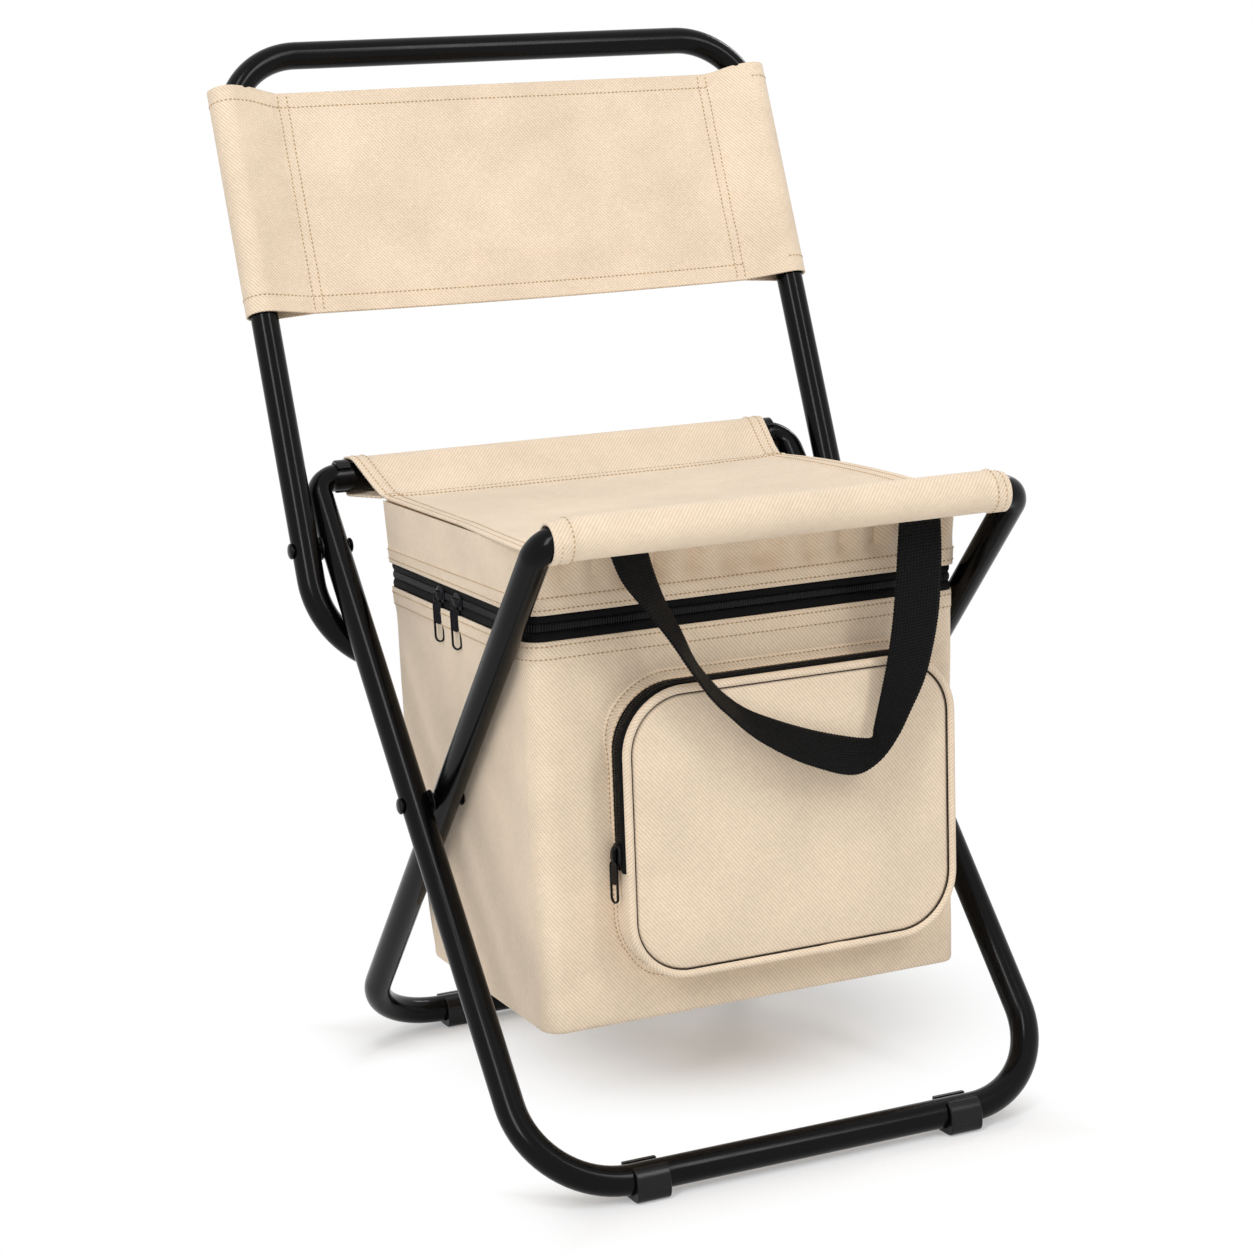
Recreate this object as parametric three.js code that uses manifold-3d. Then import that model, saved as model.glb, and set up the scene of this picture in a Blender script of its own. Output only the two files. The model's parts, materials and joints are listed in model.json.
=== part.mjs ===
// A folding cooler stool. Two crossed loops of steel tube carry a sling seat with a zipped cooler bag
// under it, and a tube bent over its top carries a sling backrest. Millimetres, +Z up, +Y to the rear, X across.
import * as THREE from "three";
import { mergeVertices } from "three/addons/utils/BufferGeometryUtils.js";
import Module from "manifold-3d";

const wasm = await Module();
wasm.setup();

const degrees = THREE.MathUtils.degToRad;

// Fits
const clearance = 0.3; // between pieces that lie against each other
const overrun = 4; // how far a cutter passes the faces that it cuts
const weldTolerance = 1e-4;

// Frame tube and the three loops that it is bent into
const tubeRadius = 8;
const washerThickness = 1;
const frameSpacing = 2 * tubeRadius + washerThickness + 2 * clearance; // from one loop's side to the next
const outerHalfWidth = 152; // to the tube's centreline, like every frame size here
const innerHalfWidth = outerHalfWidth - frameSpacing;
const backHalfWidth = outerHalfWidth + frameSpacing;
const outerLean = degrees(40.5); // from upright, top to the rear
const innerLean = degrees(-45.7); // top to the front
const backLean = degrees(19.8);
const outerLegBelowPivot = 231;
const outerLegAbovePivot = 217;
const innerLegAbovePivot = 228;
const backPivotAboveLegPivot = 170; // along the outer leg
const backAbovePivot = 296.7;
const backBelowPivot = 70; // to the lowest place that the lower bends would reach
const legFootBend = 52; // bend radii on the centreline
const legSeatBend = 16;
const backTopBend = 46;
const backBottomBend = 52;
const backHookTurn = degrees(50); // how far the lower ends turn inwards, behind the outer legs
const tubeSides = 16;
const tightBendSteps = 4;
const wideBendSteps = 6;

// Snap-on clips: four feet, and two on the rear seat bar
const clipBase = 3; // from the tube to the clip's flat face
const clipLength = 19;
const clipWall = 2.6;
const clipChamfer = 2;
const clipLipAngle = degrees(25); // how far the walls close over the tube, above its middle
const frontFootFromBend = 8; // from the loop's lower bend to the clip's middle
const rearFootFromBend = 7.4;
const barClipLength = 9;

// Rivets and washers
const rivetRadius = 3;
const rivetHeadRadius = 5.6;
const rivetHeadHeight = 2.6;
const rivetRimShare = 1 / 3; // of the head's height that is straight
const rivetCrownShare = 2 / 3; // of the head's radius that is flat on top
const rivetTailRadius = 4.4;
const rivetTailHeight = 1.6;
const washerRadius = 7.5;
const roundSides = 20;

// Seat sling
const seatSideMargin = 27; // from the outer loop's side to the cloth's edge
const seatHalfWidth = outerHalfWidth - seatSideMargin;
const clothSleeveGap = 0.4; // round the bars
const sleeveWall = 2;
const seatThickness = 2;
const seatSeamAhead = 28; // of the rear bar's middle
const seatSeamBelow = 10; // the rear bar's middle
const seatFrontBehind = 10; // the front bar's middle
const seatFrontBelow = 10; // the front bar's middle
const seatSag = 5; // below a straight line, at mid span
const seatSpanSteps = 6;

// Backrest sling, measured along the back frame from its pivot
const backrestBottom = 140;
const backrestTop = 277;
const backrestThickness = 3;

// Cooler bag
const zipperBelowSeam = 40.66; // from the seat's rear seam down to the zipper's top edge
const zipperHeight = 14;
const bagDepth = 210; // below the zipper
const bagSideGap = 5.4; // between the bag and the inner loop's tube
const bagHalfWidth = innerHalfWidth - tubeRadius - bagSideGap;
const bagBaseInset = 3; // how far the bag draws in at its base
const bagFrontAtBase = -101;
const bagFrontAtZip = -110.5;
const bagFrontAtSeat = -122;
const bagRearAtBase = 74;
const bagRearAtMiddle = 90.5;
const bagRearAtZip = 96;
const bagRearAtSeat = 108;
const bagMiddleRise = 128; // from the base to the height called its middle
const bagBaseRounding = 4;
const bagCorner = 20; // radius of the upright corners
const bagCornerSteps = 5;
const bagWall = 1.6;
const linerWall = 4;
const zipperRecess = 1.5; // the main zipper lies this far behind the cloth
const zipperThickness = 1.4;
const zipperEndAhead = 30; // ahead of the bag's rear, on both sides

// Front pocket
const pocketFromLeft = 39; // of the bag
const pocketFromRight = 10;
const pocketLeft = pocketFromLeft - bagHalfWidth;
const pocketRight = bagHalfWidth - pocketFromRight;
const pocketAboveBase = 27;
const pocketBelowZipper = 27;
const pocketCorner = 34;
const pocketCornerSteps = 7;
const pocketDepth = 18;
const pocketPanelThickness = 2.6;
const pocketFlange = 2.4; // the stitched strip at the pocket's root, past its side
const pocketFlangeDepth = 4;
const pipingRadius = 1.9;
const pipingSides = 8;
const pocketZipWidth = 10;
const pocketZipThickness = 1;
const pocketZipStart = 60; // above the pocket's bottom edge
const pocketZipFromFlange = 1;

// Zipper sliders and their pulls
const sliderLength = 10;
const sliderWidth = 9;
const sliderThickness = 1.3;
const bridgeLength = 7;
const bridgeLeg = 1.4;
const bridgeBar = 1.1; // thickness of the bridge, each way
const eyeRadius = 1.9;
const eyeHoleRadius = 1;
const eyeLength = 3;
const pullLength = 24; // from the bridge to the pull's tip
const pullWidth = 6.6;
const pullThickness = 1.1;
const pullSlotLength = 8;
const pullSlotWidth = 3;
const pullSlotMargin = 1.8;
const rearSliderY = 14;
const frontSliderY = -13;
const pocketSliderRise = 9; // above the pocket zipper's lower end

// Carry handle
const webbingWidth = 25;
const webbingThickness = 2;
const handleLeftX = pocketLeft + 3;
const handleRightX = pocketRight - 20;
const handleLowestX = handleRightX - 58;
const handleDrop = 122; // from the seat to the loop's lowest middle
const handleY = -140; // the plane that it hangs in
const handleTopRun = 8; // the straight end that is sewn in
const handleSteps = 24;
const handleFullnessShare = 0.62; // of each side's width that the loop's curve takes up

// Materials
function material(color, roughness, metalness) {
  return new THREE.MeshStandardMaterial({ color, roughness, metalness });
}
const blackTube = material(0x0b0b0c, 0.25, 0.2);
const blackPlastic = material(0x141416, 0.45, 0);
const darkMetal = material(0x2a2a2c, 0.35, 0.9);
const beigeCloth = material(0xe0c7a3, 0.9, 0);
const linerFilm = material(0xc9ccd0, 0.3, 0.6);
const blackTape = material(0x121212, 0.8, 0);
const blackWebbing = material(0x151515, 0.85, 0);

// Geometry helpers
function toSolid(geometry) {
  const bare = geometry.clone();
  bare.deleteAttribute("normal");
  bare.deleteAttribute("uv");
  const merged = mergeVertices(bare, weldTolerance);
  const vertProperties = merged.attributes.position.array;
  const triVerts = new Uint32Array(merged.index.array);
  return new wasm.Manifold(new wasm.Mesh({ numProp: 3, vertProperties, triVerts }));
}

function toGeometry(solid) {
  const mesh = solid.getMesh();
  const geometry = new THREE.BufferGeometry();
  geometry.setAttribute("position", new THREE.BufferAttribute(mesh.vertProperties, 3));
  geometry.setIndex(new THREE.BufferAttribute(mesh.triVerts, 1));
  geometry.computeVertexNormals();
  return geometry;
}

// A closed body through rings of equally many points. It has an end face on its first and last ring,
// or joins its last ring to its first. Each ring is convex where it is an end face.
function loft(rings, joined = false) {
  const count = rings[0].length;
  const positions = rings.flat().flatMap((point) => point.toArray());
  const index = [];
  const spans = joined ? rings.length : rings.length - 1;
  for (let ring = 0; ring < spans; ring++) {
    const here = ring * count;
    const next = ((ring + 1) % rings.length) * count;
    for (let i = 0; i < count; i++) {
      const j = (i + 1) % count;
      index.push(here + i, here + j, next + j, here + i, next + j, next + i);
    }
  }
  if (!joined) {
    const last = (rings.length - 1) * count;
    for (let i = 1; i < count - 1; i++) {
      index.push(0, i + 1, i, last, last + i, last + i + 1);
    }
  }
  const geometry = new THREE.BufferGeometry();
  geometry.setAttribute("position", new THREE.Float32BufferAttribute(positions, 3));
  geometry.setIndex(index);
  geometry.computeVertexNormals();
  return geometry;
}

// Points and outward normals of a rectangle's four rounded corners, anticlockwise from low x, low y.
function roundedCorners({ left, right, low, high, radius, steps }) {
  const centres = [
    [left + radius, low + radius, Math.PI],
    [right - radius, low + radius, 1.5 * Math.PI],
    [right - radius, high - radius, 0],
    [left + radius, high - radius, 0.5 * Math.PI],
  ];
  return centres.map(([x, y, start]) => {
    const corner = [];
    for (let i = 0; i <= steps; i++) {
      const angle = start + (i / steps) * (Math.PI / 2);
      const normal = new THREE.Vector2(Math.cos(angle), Math.sin(angle));
      corner.push(new THREE.Vector2(x, y).addScaledVector(normal, radius));
    }
    return corner;
  });
}

// A curve that three.js samples at just the stations given, so that straight runs need no rings.
class StationCurve extends THREE.Curve {
  constructor(stations) {
    super();
    this.stations = stations;
  }
  stationAt(u) {
    return this.stations[Math.round(u * (this.stations.length - 1))];
  }
  getPointAt(u) {
    return this.stationAt(u).point.clone();
  }
  getTangentAt(u) {
    return this.stationAt(u).tangent.clone();
  }
}

// Stations of a rounded loop in the XZ plane: up its right side, along its top to the left and round.
function loopStations({ left, right, low, high, lowBend, highBend, lowSteps, highSteps }) {
  const corners = [
    { x: right - lowBend, z: low + lowBend, bend: lowBend, steps: lowSteps, start: -Math.PI / 2 },
    { x: right - highBend, z: high - highBend, bend: highBend, steps: highSteps, start: 0 },
    { x: left + highBend, z: high - highBend, bend: highBend, steps: highSteps, start: Math.PI / 2 },
    { x: left + lowBend, z: low + lowBend, bend: lowBend, steps: lowSteps, start: Math.PI },
  ];
  return corners.flatMap(({ x, z, bend, steps, start }) => {
    const stations = [];
    for (let i = 0; i <= steps; i++) {
      const angle = start + (i / steps) * (Math.PI / 2);
      const point = new THREE.Vector3(x + bend * Math.cos(angle), 0, z + bend * Math.sin(angle));
      stations.push({ point, tangent: new THREE.Vector3(-Math.sin(angle), 0, Math.cos(angle)) });
    }
    return stations;
  });
}

function loopTube(loop, radius, sides) {
  const stations = loopStations(loop);
  stations.push(stations[0]);
  return new THREE.TubeGeometry(new StationCurve(stations), stations.length - 1, radius, sides, true);
}

// A round bar along X, such as a rivet's bore.
function crossBar(radius, fromX, toX, z = 0) {
  const bar = new THREE.CylinderGeometry(radius, radius, Math.abs(toX - fromX), roundSides);
  return bar.rotateZ(Math.PI / 2).translate((fromX + toX) / 2, 0, z);
}

// A point at a distance from a pivot, along a frame that leans by an angle.
function alongFrame(pivot, lean, distance) {
  return { y: pivot.y + distance * Math.sin(lean), z: pivot.z + distance * Math.cos(lean) };
}

// Places that follow from the sizes
const barHeight = clipBase + tubeRadius;
const legPivot = { y: 0, z: barHeight + outerLegBelowPivot * Math.cos(outerLean) };
const innerLegBelowPivot = (legPivot.z - barHeight) / Math.cos(innerLean);
const backPivot = alongFrame(legPivot, outerLean, backPivotAboveLegPivot);
const frontFootBar = alongFrame(legPivot, outerLean, -outerLegBelowPivot);
const rearFootBar = alongFrame(legPivot, innerLean, -innerLegBelowPivot);
const rearSeatBar = alongFrame(legPivot, outerLean, outerLegAbovePivot);
const frontSeatBar = alongFrame(legPivot, innerLean, innerLegAbovePivot);
const seatSeam = { y: rearSeatBar.y - seatSeamAhead, z: rearSeatBar.z - seatSeamBelow };
const seatFront = { y: frontSeatBar.y + seatFrontBehind, z: frontSeatBar.z - seatFrontBelow };
const bagZipTopZ = seatSeam.z - zipperBelowSeam;
const bagZipBottomZ = bagZipTopZ - zipperHeight;
const bagBottomZ = bagZipBottomZ - bagDepth;
const pocketBottomZ = bagBottomZ + pocketAboveBase;
const pocketTopZ = bagZipBottomZ - pocketBelowZipper;
const sleeveInner = tubeRadius + clothSleeveGap;
const sleeveOuter = sleeveInner + sleeveWall;

const assembly = new THREE.Group();

function add(name, geometry, finish, parent = assembly) {
  const mesh = new THREE.Mesh(geometry, finish);
  mesh.name = name;
  parent.add(mesh);
  return mesh;
}

function leaningGroup(pivot, lean) {
  const group = new THREE.Group();
  group.position.set(0, pivot.y, pivot.z);
  group.rotation.x = -lean;
  assembly.add(group);
  return group;
}

const outerGroup = leaningGroup(legPivot, outerLean);
const innerGroup = leaningGroup(legPivot, innerLean);
const backGroup = leaningGroup(backPivot, backLean);

// Frame loops, each bored for its rivets
const outerLoop = {
  left: -outerHalfWidth,
  right: outerHalfWidth,
  low: -outerLegBelowPivot,
  high: outerLegAbovePivot,
  lowBend: legFootBend,
  highBend: legSeatBend,
  lowSteps: wideBendSteps,
  highSteps: tightBendSteps,
};
const innerLoop = {
  ...outerLoop,
  left: -innerHalfWidth,
  right: innerHalfWidth,
  low: -innerLegBelowPivot,
  high: innerLegAbovePivot,
};
const backLoop = {
  left: -backHalfWidth,
  right: backHalfWidth,
  low: -backBelowPivot,
  high: backAbovePivot,
  lowBend: backBottomBend,
  highBend: backTopBend,
  lowSteps: wideBendSteps,
  highSteps: wideBendSteps,
};

function boredLoop(loop, boreHeights) {
  let solid = toSolid(loopTube(loop, tubeRadius, tubeSides));
  const reach = tubeRadius + overrun;
  for (const z of boreHeights) {
    for (const x of [loop.left, loop.right]) {
      solid = solid.subtract(toSolid(crossBar(rivetRadius + clearance, x - reach, x + reach, z)));
    }
  }
  return toGeometry(solid);
}

add("outer_leg_frame", boredLoop(outerLoop, [0, backPivotAboveLegPivot]), blackTube, outerGroup);
add("inner_leg_frame", boredLoop(innerLoop, [0]), blackTube, innerGroup);

// The back frame is a loop without its bottom bar: each lower bend stops after a part of its quarter turn.
function backFrame() {
  const { left, right, low, lowBend } = backLoop;
  const reach = tubeRadius + overrun;
  const bar = new THREE.BoxGeometry(right - left - 2 * lowBend, 2 * reach, 2 * reach).translate(0, 0, low);
  let solid = toSolid(boredLoop(backLoop, [0])).subtract(toSolid(bar));
  for (const side of [-1, 1]) {
    // It has one face in the bend's middle, and the rest of the quarter turn lies beyond that face.
    const rest = new THREE.BoxGeometry(lowBend + reach, 2 * reach, lowBend + reach)
      .translate(((lowBend + reach) / 2) * side, 0, -(lowBend + reach) / 2)
      .rotateY(side * backHookTurn)
      .translate(side * (right - lowBend), 0, low + lowBend);
    solid = solid.subtract(toSolid(rest));
  }
  return toGeometry(solid);
}
add("back_frame", backFrame(), blackTube, backGroup);

// A rivet along +X from its tail, inside the inner tube, to its head, outside the outer tube.
function rivet(innerFace, outerFace) {
  const tailSeat = innerFace - clearance;
  const headSeat = outerFace + clearance;
  const profile = [
    [0, tailSeat - rivetTailHeight],
    [rivetTailRadius, tailSeat - rivetTailHeight],
    [rivetTailRadius, tailSeat],
    [rivetRadius, tailSeat],
    [rivetRadius, headSeat],
    [rivetHeadRadius, headSeat],
    [rivetHeadRadius, headSeat + rivetHeadHeight * rivetRimShare],
    [rivetHeadRadius * rivetCrownShare, headSeat + rivetHeadHeight],
    [0, headSeat + rivetHeadHeight],
  ];
  const points = profile.map(([radius, x]) => new THREE.Vector2(radius, x));
  return new THREE.LatheGeometry(points, roundSides).rotateZ(-Math.PI / 2);
}

function washer(innerFace) {
  const near = innerFace + clearance;
  const far = near + washerThickness;
  const bore = rivetRadius + clearance;
  const profile = [
    [bore, near],
    [washerRadius, near],
    [washerRadius, far],
    [bore, far],
    [bore, near],
  ];
  const points = profile.map(([radius, x]) => new THREE.Vector2(radius, x));
  return new THREE.LatheGeometry(points, roundSides).rotateZ(-Math.PI / 2);
}

// Both sides of a pivot: the right side as made, the left side turned half round about Z.
function addPivot(name, pivot, innerTube, outerTube) {
  const sides = { right: 0, left: Math.PI };
  for (const [side, turn] of Object.entries(sides)) {
    const group = new THREE.Group();
    group.position.set(0, pivot.y, pivot.z);
    group.rotation.z = turn;
    assembly.add(group);
    const rivetBody = rivet(innerTube - tubeRadius, outerTube + tubeRadius);
    add(`${name}_rivet_${side}`, rivetBody, darkMetal, group);
    add(`${name}_washer_${side}`, washer(innerTube + tubeRadius), blackPlastic, group);
  }
}

addPivot("leg_pivot", legPivot, innerHalfWidth, outerHalfWidth);
addPivot("back_pivot", backPivot, outerHalfWidth, backHalfWidth);

// A clip round a bar along X. Its flat face is below the bar, and its walls close over the bar.
function clip(length) {
  const grip = tubeRadius + clearance;
  const side = grip + clipWall;
  const base = -barHeight;
  const lipX = grip * Math.cos(clipLipAngle);
  const lipZ = grip * Math.sin(clipLipAngle);
  const outline = new THREE.Shape();
  outline.moveTo(-side + clipChamfer, base);
  outline.lineTo(side - clipChamfer, base);
  outline.lineTo(side, base + clipChamfer);
  outline.lineTo(side, 0);
  outline.lineTo(lipX + clipWall / 2, lipZ + clipWall / 2);
  outline.lineTo(lipX, lipZ);
  outline.absarc(0, 0, grip, clipLipAngle, Math.PI - clipLipAngle, true);
  outline.lineTo(-lipX - clipWall / 2, lipZ + clipWall / 2);
  outline.lineTo(-side, 0);
  outline.lineTo(-side, base + clipChamfer);
  const geometry = new THREE.ExtrudeGeometry(outline, {
    depth: length,
    bevelEnabled: false,
    curveSegments: tubeSides,
  });
  // The outline's x goes to the front and its y up.
  return geometry.translate(0, 0, -length / 2).rotateX(Math.PI / 2).rotateZ(-Math.PI / 2);
}

function addClips(name, bar, offset, length, turn) {
  const places = { left: -offset, right: offset };
  for (const [side, x] of Object.entries(places)) {
    const mesh = add(`${name}_${side}`, clip(length), blackPlastic);
    mesh.position.set(x, bar.y, bar.z);
    mesh.rotation.x = turn;
  }
}

const barClipOffset = (outerHalfWidth - legSeatBend + seatHalfWidth + clearance) / 2;
const frontFootOffset = outerHalfWidth - legFootBend - frontFootFromBend;
const rearFootOffset = innerHalfWidth - legFootBend - rearFootFromBend;
addClips("front_foot", frontFootBar, frontFootOffset, clipLength, 0);
addClips("rear_foot", rearFootBar, rearFootOffset, clipLength, 0);
addClips("rear_bar_clip", rearSeatBar, barClipOffset, barClipLength, Math.PI - outerLean);

// Height of the seat's top surface ahead of the rear seam.
function seatTopAt(y) {
  const share = THREE.MathUtils.clamp((y - seatFront.y) / (seatSeam.y - seatFront.y), 0, 1);
  const line = THREE.MathUtils.lerp(seatFront.z, seatSeam.z, share);
  return line - seatSag * 4 * share * (1 - share);
}

// The seat cloth with the sewn sleeve that holds the rear bar, as one outline extruded across.
function seatPanel() {
  const outline = new THREE.Shape();
  const seamRise = Math.atan2(seatSeamBelow, seatSeamAhead);
  const seamDistance = Math.hypot(seatSeamAhead, seatSeamBelow);
  const tipDistance = seamDistance - sleeveWall;
  const outerOpening = Math.acos(sleeveOuter / seamDistance);
  const innerOpening = Math.acos(sleeveInner / tipDistance);
  const towardsSeam = Math.PI + seamRise;
  outline.moveTo(seatFront.y, seatFront.z - seatThickness);
  for (let i = 1; i <= seatSpanSteps; i++) {
    const y = THREE.MathUtils.lerp(seatFront.y, seatSeam.y, i / seatSpanSteps);
    outline.lineTo(y, seatTopAt(y) - seatThickness);
  }
  const bottomAngle = towardsSeam + outerOpening;
  const topAngle = towardsSeam - outerOpening;
  outline.absarc(rearSeatBar.y, rearSeatBar.z, sleeveOuter, bottomAngle, topAngle + 2 * Math.PI, false);
  for (let i = seatSpanSteps; i >= 0; i--) {
    const y = THREE.MathUtils.lerp(seatFront.y, seatSeam.y, i / seatSpanSteps);
    outline.lineTo(y, seatTopAt(y));
  }
  const hole = new THREE.Path();
  hole.absarc(
    rearSeatBar.y,
    rearSeatBar.z,
    sleeveInner,
    towardsSeam + innerOpening,
    towardsSeam - innerOpening + 2 * Math.PI,
    false,
  );
  hole.lineTo(
    rearSeatBar.y + tipDistance * Math.cos(towardsSeam),
    rearSeatBar.z + tipDistance * Math.sin(towardsSeam),
  );
  outline.holes.push(hole);
  const geometry = new THREE.ExtrudeGeometry(outline, {
    depth: 2 * seatHalfWidth,
    bevelEnabled: false,
    curveSegments: tubeSides,
  });
  // The outline's x goes to the rear, its y up and its depth to the right.
  return geometry.rotateX(Math.PI / 2).rotateZ(Math.PI / 2).translate(-seatHalfWidth, 0, 0);
}
add("seat_panel", seatPanel(), beigeCloth);

// The round sleeve on the inner frame's front bar, swept along the bar and into its bends.
function seatFrontSleeve() {
  const bendStart = innerHalfWidth - legSeatBend;
  const height = innerLegAbovePivot;
  const endAngle = Math.asin(Math.min(1, (seatHalfWidth - bendStart) / legSeatBend));
  const ends = [
    { side: -1, angles: [endAngle, endAngle / 2, 0] },
    { side: 1, angles: [0, endAngle / 2, endAngle] },
  ];
  const stations = ends.flatMap(({ side, angles }) =>
    angles.map((angle) => ({
      point: new THREE.Vector3(
        side * (bendStart + legSeatBend * Math.sin(angle)),
        0,
        height - legSeatBend * (1 - Math.cos(angle)),
      ),
      tangent: new THREE.Vector3(Math.cos(angle), 0, -side * Math.sin(angle)),
    })),
  );
  const ring = new THREE.Shape().absarc(0, 0, sleeveOuter, 0, 2 * Math.PI, false);
  ring.holes.push(new THREE.Path().absarc(0, 0, sleeveInner, 0, 2 * Math.PI, true));
  return new THREE.ExtrudeGeometry(ring, {
    steps: stations.length - 1,
    extrudePath: new StationCurve(stations),
    curveSegments: tubeSides / 2,
    bevelEnabled: false,
  });
}
add("seat_front_sleeve", seatFrontSleeve(), beigeCloth, innerGroup);

// The backrest: a doubled cloth with a sleeve on each side of the back frame.
function backrestSling() {
  const outline = new THREE.Shape();
  const meet = Math.asin(backrestThickness / 2 / sleeveOuter);
  outline.absarc(backHalfWidth, 0, sleeveOuter, -Math.PI + meet, Math.PI - meet, false);
  outline.absarc(-backHalfWidth, 0, sleeveOuter, meet, 2 * Math.PI - meet, false);
  const height = backrestTop - backrestBottom;
  const panel = new THREE.ExtrudeGeometry(outline, {
    depth: height,
    bevelEnabled: false,
    curveSegments: tubeSides,
  }).translate(0, 0, backrestBottom);
  const bar = toSolid(loopTube(backLoop, sleeveInner, tubeSides));
  return toGeometry(toSolid(panel).subtract(bar));
}
add("backrest_sling", backrestSling(), beigeCloth, backGroup);

// The bag's outline at a height: its front, rear and half width, before any inset.
const bagLevels = [
  { z: bagBottomZ, front: bagFrontAtBase, rear: bagRearAtBase, inset: bagBaseInset },
  { z: bagBottomZ + bagBaseRounding, front: bagFrontAtBase, rear: bagRearAtBase, inset: 0 },
  { z: bagBottomZ + bagMiddleRise, front: null, rear: bagRearAtMiddle, inset: 0 },
  { z: bagZipBottomZ, front: bagFrontAtZip, rear: bagRearAtZip, inset: 0 },
  { z: bagZipTopZ, front: null, rear: null, inset: 0 },
  { z: Math.min(seatFront.z, seatSeam.z), front: bagFrontAtSeat, rear: bagRearAtSeat, inset: 0 },
];

// Interpolates one value over the levels that state it.
function bagValueAt(z, key) {
  const stated = bagLevels.filter((level) => level[key] !== null);
  const above = stated.findIndex((level) => level.z >= z);
  if (above === 0) return stated[0][key];
  if (above < 0) return stated[stated.length - 1][key];
  const [low, high] = [stated[above - 1], stated[above]];
  return THREE.MathUtils.mapLinear(z, low.z, high.z, low[key], high[key]);
}

function bagCornersAt(z, inset) {
  const total = inset + bagValueAt(z, "inset");
  return roundedCorners({
    left: -bagHalfWidth + total,
    right: bagHalfWidth - total,
    low: bagValueAt(z, "front") + total,
    high: bagValueAt(z, "rear") - total,
    radius: bagCorner - inset,
    steps: bagCornerSteps,
  });
}

// A ring of the bag's outline at a height, which may differ along the bag, with its sides divided.
function bagRing(z, inset, height = () => z, sideSteps = 1) {
  const [frontLeft, frontRight, rearRight, rearLeft] = bagCornersAt(z, inset);
  const between = (from, to) =>
    Array.from({ length: sideSteps - 1 }, (_, i) => from.clone().lerp(to, (i + 1) / sideSteps));
  return [
    ...frontLeft,
    ...frontRight,
    ...between(frontRight.at(-1), rearRight[0]),
    ...rearRight,
    ...rearLeft,
    ...between(rearLeft.at(-1), frontLeft[0]),
  ].map((point) => new THREE.Vector3(point.x, point.y, height(point.y)));
}

// An open cup between two insets, from its base up to the zipper.
function bagCup(outerInset, wall) {
  const levels = bagLevels.map((level) => level.z).filter((z) => z <= bagZipBottomZ);
  const outside = levels.map((z) => bagRing(z, outerInset, () => Math.max(z, bagBottomZ + outerInset)));
  const floor = bagBottomZ + outerInset + wall;
  const inside = levels.map((z) => bagRing(z, outerInset + wall, () => Math.max(z, floor)));
  const firstInside = levels.findIndex((z) => z > floor);
  const firstOutside = outerInset > 0 ? levels.findIndex((z) => z > bagBottomZ + outerInset) - 1 : 0;
  return loft([...outside.slice(firstOutside), ...inside.slice(firstInside - 1).reverse()]);
}
add("bag_body", bagCup(0, bagWall), beigeCloth);
add("bag_liner", bagCup(bagWall + clearance, linerWall), linerFilm);

// A standing strip along part of the bag's outline, given the corners that it rounds.
function bagStrip(lowZ, highZ, outerInset, thickness, pick) {
  const edges = [
    [lowZ, outerInset + thickness],
    [highZ, outerInset + thickness],
    [highZ, outerInset],
    [lowZ, outerInset],
  ];
  const lines = edges.map(([z, inset]) => {
    const points = pick(bagCornersAt(z, inset), z);
    return points.map((point) => new THREE.Vector3(point.x, point.y, z));
  });
  return loft(lines[0].map((_, i) => lines.map((line) => line[i])));
}

const zipLowZ = bagZipBottomZ + clearance;
const zipHighZ = bagZipTopZ - clearance;
const zipperEndY = bagRearAtZip - zipperEndAhead;

// The left side's rear end, both front corners, and the right side's rear end.
function frontRun([frontLeft, frontRight]) {
  const leftEnd = new THREE.Vector2(frontLeft[0].x, zipperEndY);
  const rightEnd = new THREE.Vector2(frontRight.at(-1).x, zipperEndY);
  return [leftEnd, ...frontLeft, ...frontRight, rightEnd];
}

function rearRun([, , rearRight, rearLeft]) {
  const y = zipperEndY + clearance;
  const rightEnd = new THREE.Vector2(rearRight[0].x, y);
  const leftEnd = new THREE.Vector2(rearLeft.at(-1).x, y);
  return [rightEnd, ...rearRight, ...rearLeft, leftEnd];
}
add("main_zipper", bagStrip(zipLowZ, zipHighZ, zipperRecess, zipperThickness, frontRun), blackTape);
add("bag_rear_hinge", bagStrip(zipLowZ, zipHighZ, 0, bagWall, rearRun), beigeCloth);

// The band from the zipper up to the seat, whose upper edge follows the seat's underside.
function bagTopBand() {
  const topZ = bagLevels.at(-1).z;
  const baseHeight = () => bagZipTopZ;
  const underSeat = (y) => seatTopAt(y) - seatThickness - clearance;
  return loft(
    [
      bagRing(bagZipTopZ, 0, baseHeight, seatSpanSteps),
      bagRing(topZ, 0, underSeat, seatSpanSteps),
      bagRing(topZ, bagWall, underSeat, seatSpanSteps),
      bagRing(bagZipTopZ, bagWall, baseHeight, seatSpanSteps),
    ],
    true,
  );
}
add("bag_top_band", bagTopBand(), beigeCloth);

// The front pocket, in a frame that lies on the bag's front wall with its y axis out of the wall.
const frontWallRise = bagZipBottomZ - bagBottomZ - bagBaseRounding;
const frontWallLean = Math.atan2(bagFrontAtBase - bagFrontAtZip, frontWallRise);
const pocketGroup = new THREE.Group();
pocketGroup.position.set(0, bagFrontAtBase, bagBottomZ + bagBaseRounding);
pocketGroup.rotation.x = frontWallLean;
assembly.add(pocketGroup);
const pocketFrameZ = pocketGroup.position.z;

function pocketCorners(outset) {
  return roundedCorners({
    left: pocketLeft - outset,
    right: pocketRight + outset,
    low: pocketBottomZ - pocketFrameZ - outset,
    high: pocketTopZ - pocketFrameZ + outset,
    radius: pocketCorner + outset,
    steps: pocketCornerSteps,
  });
}

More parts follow.
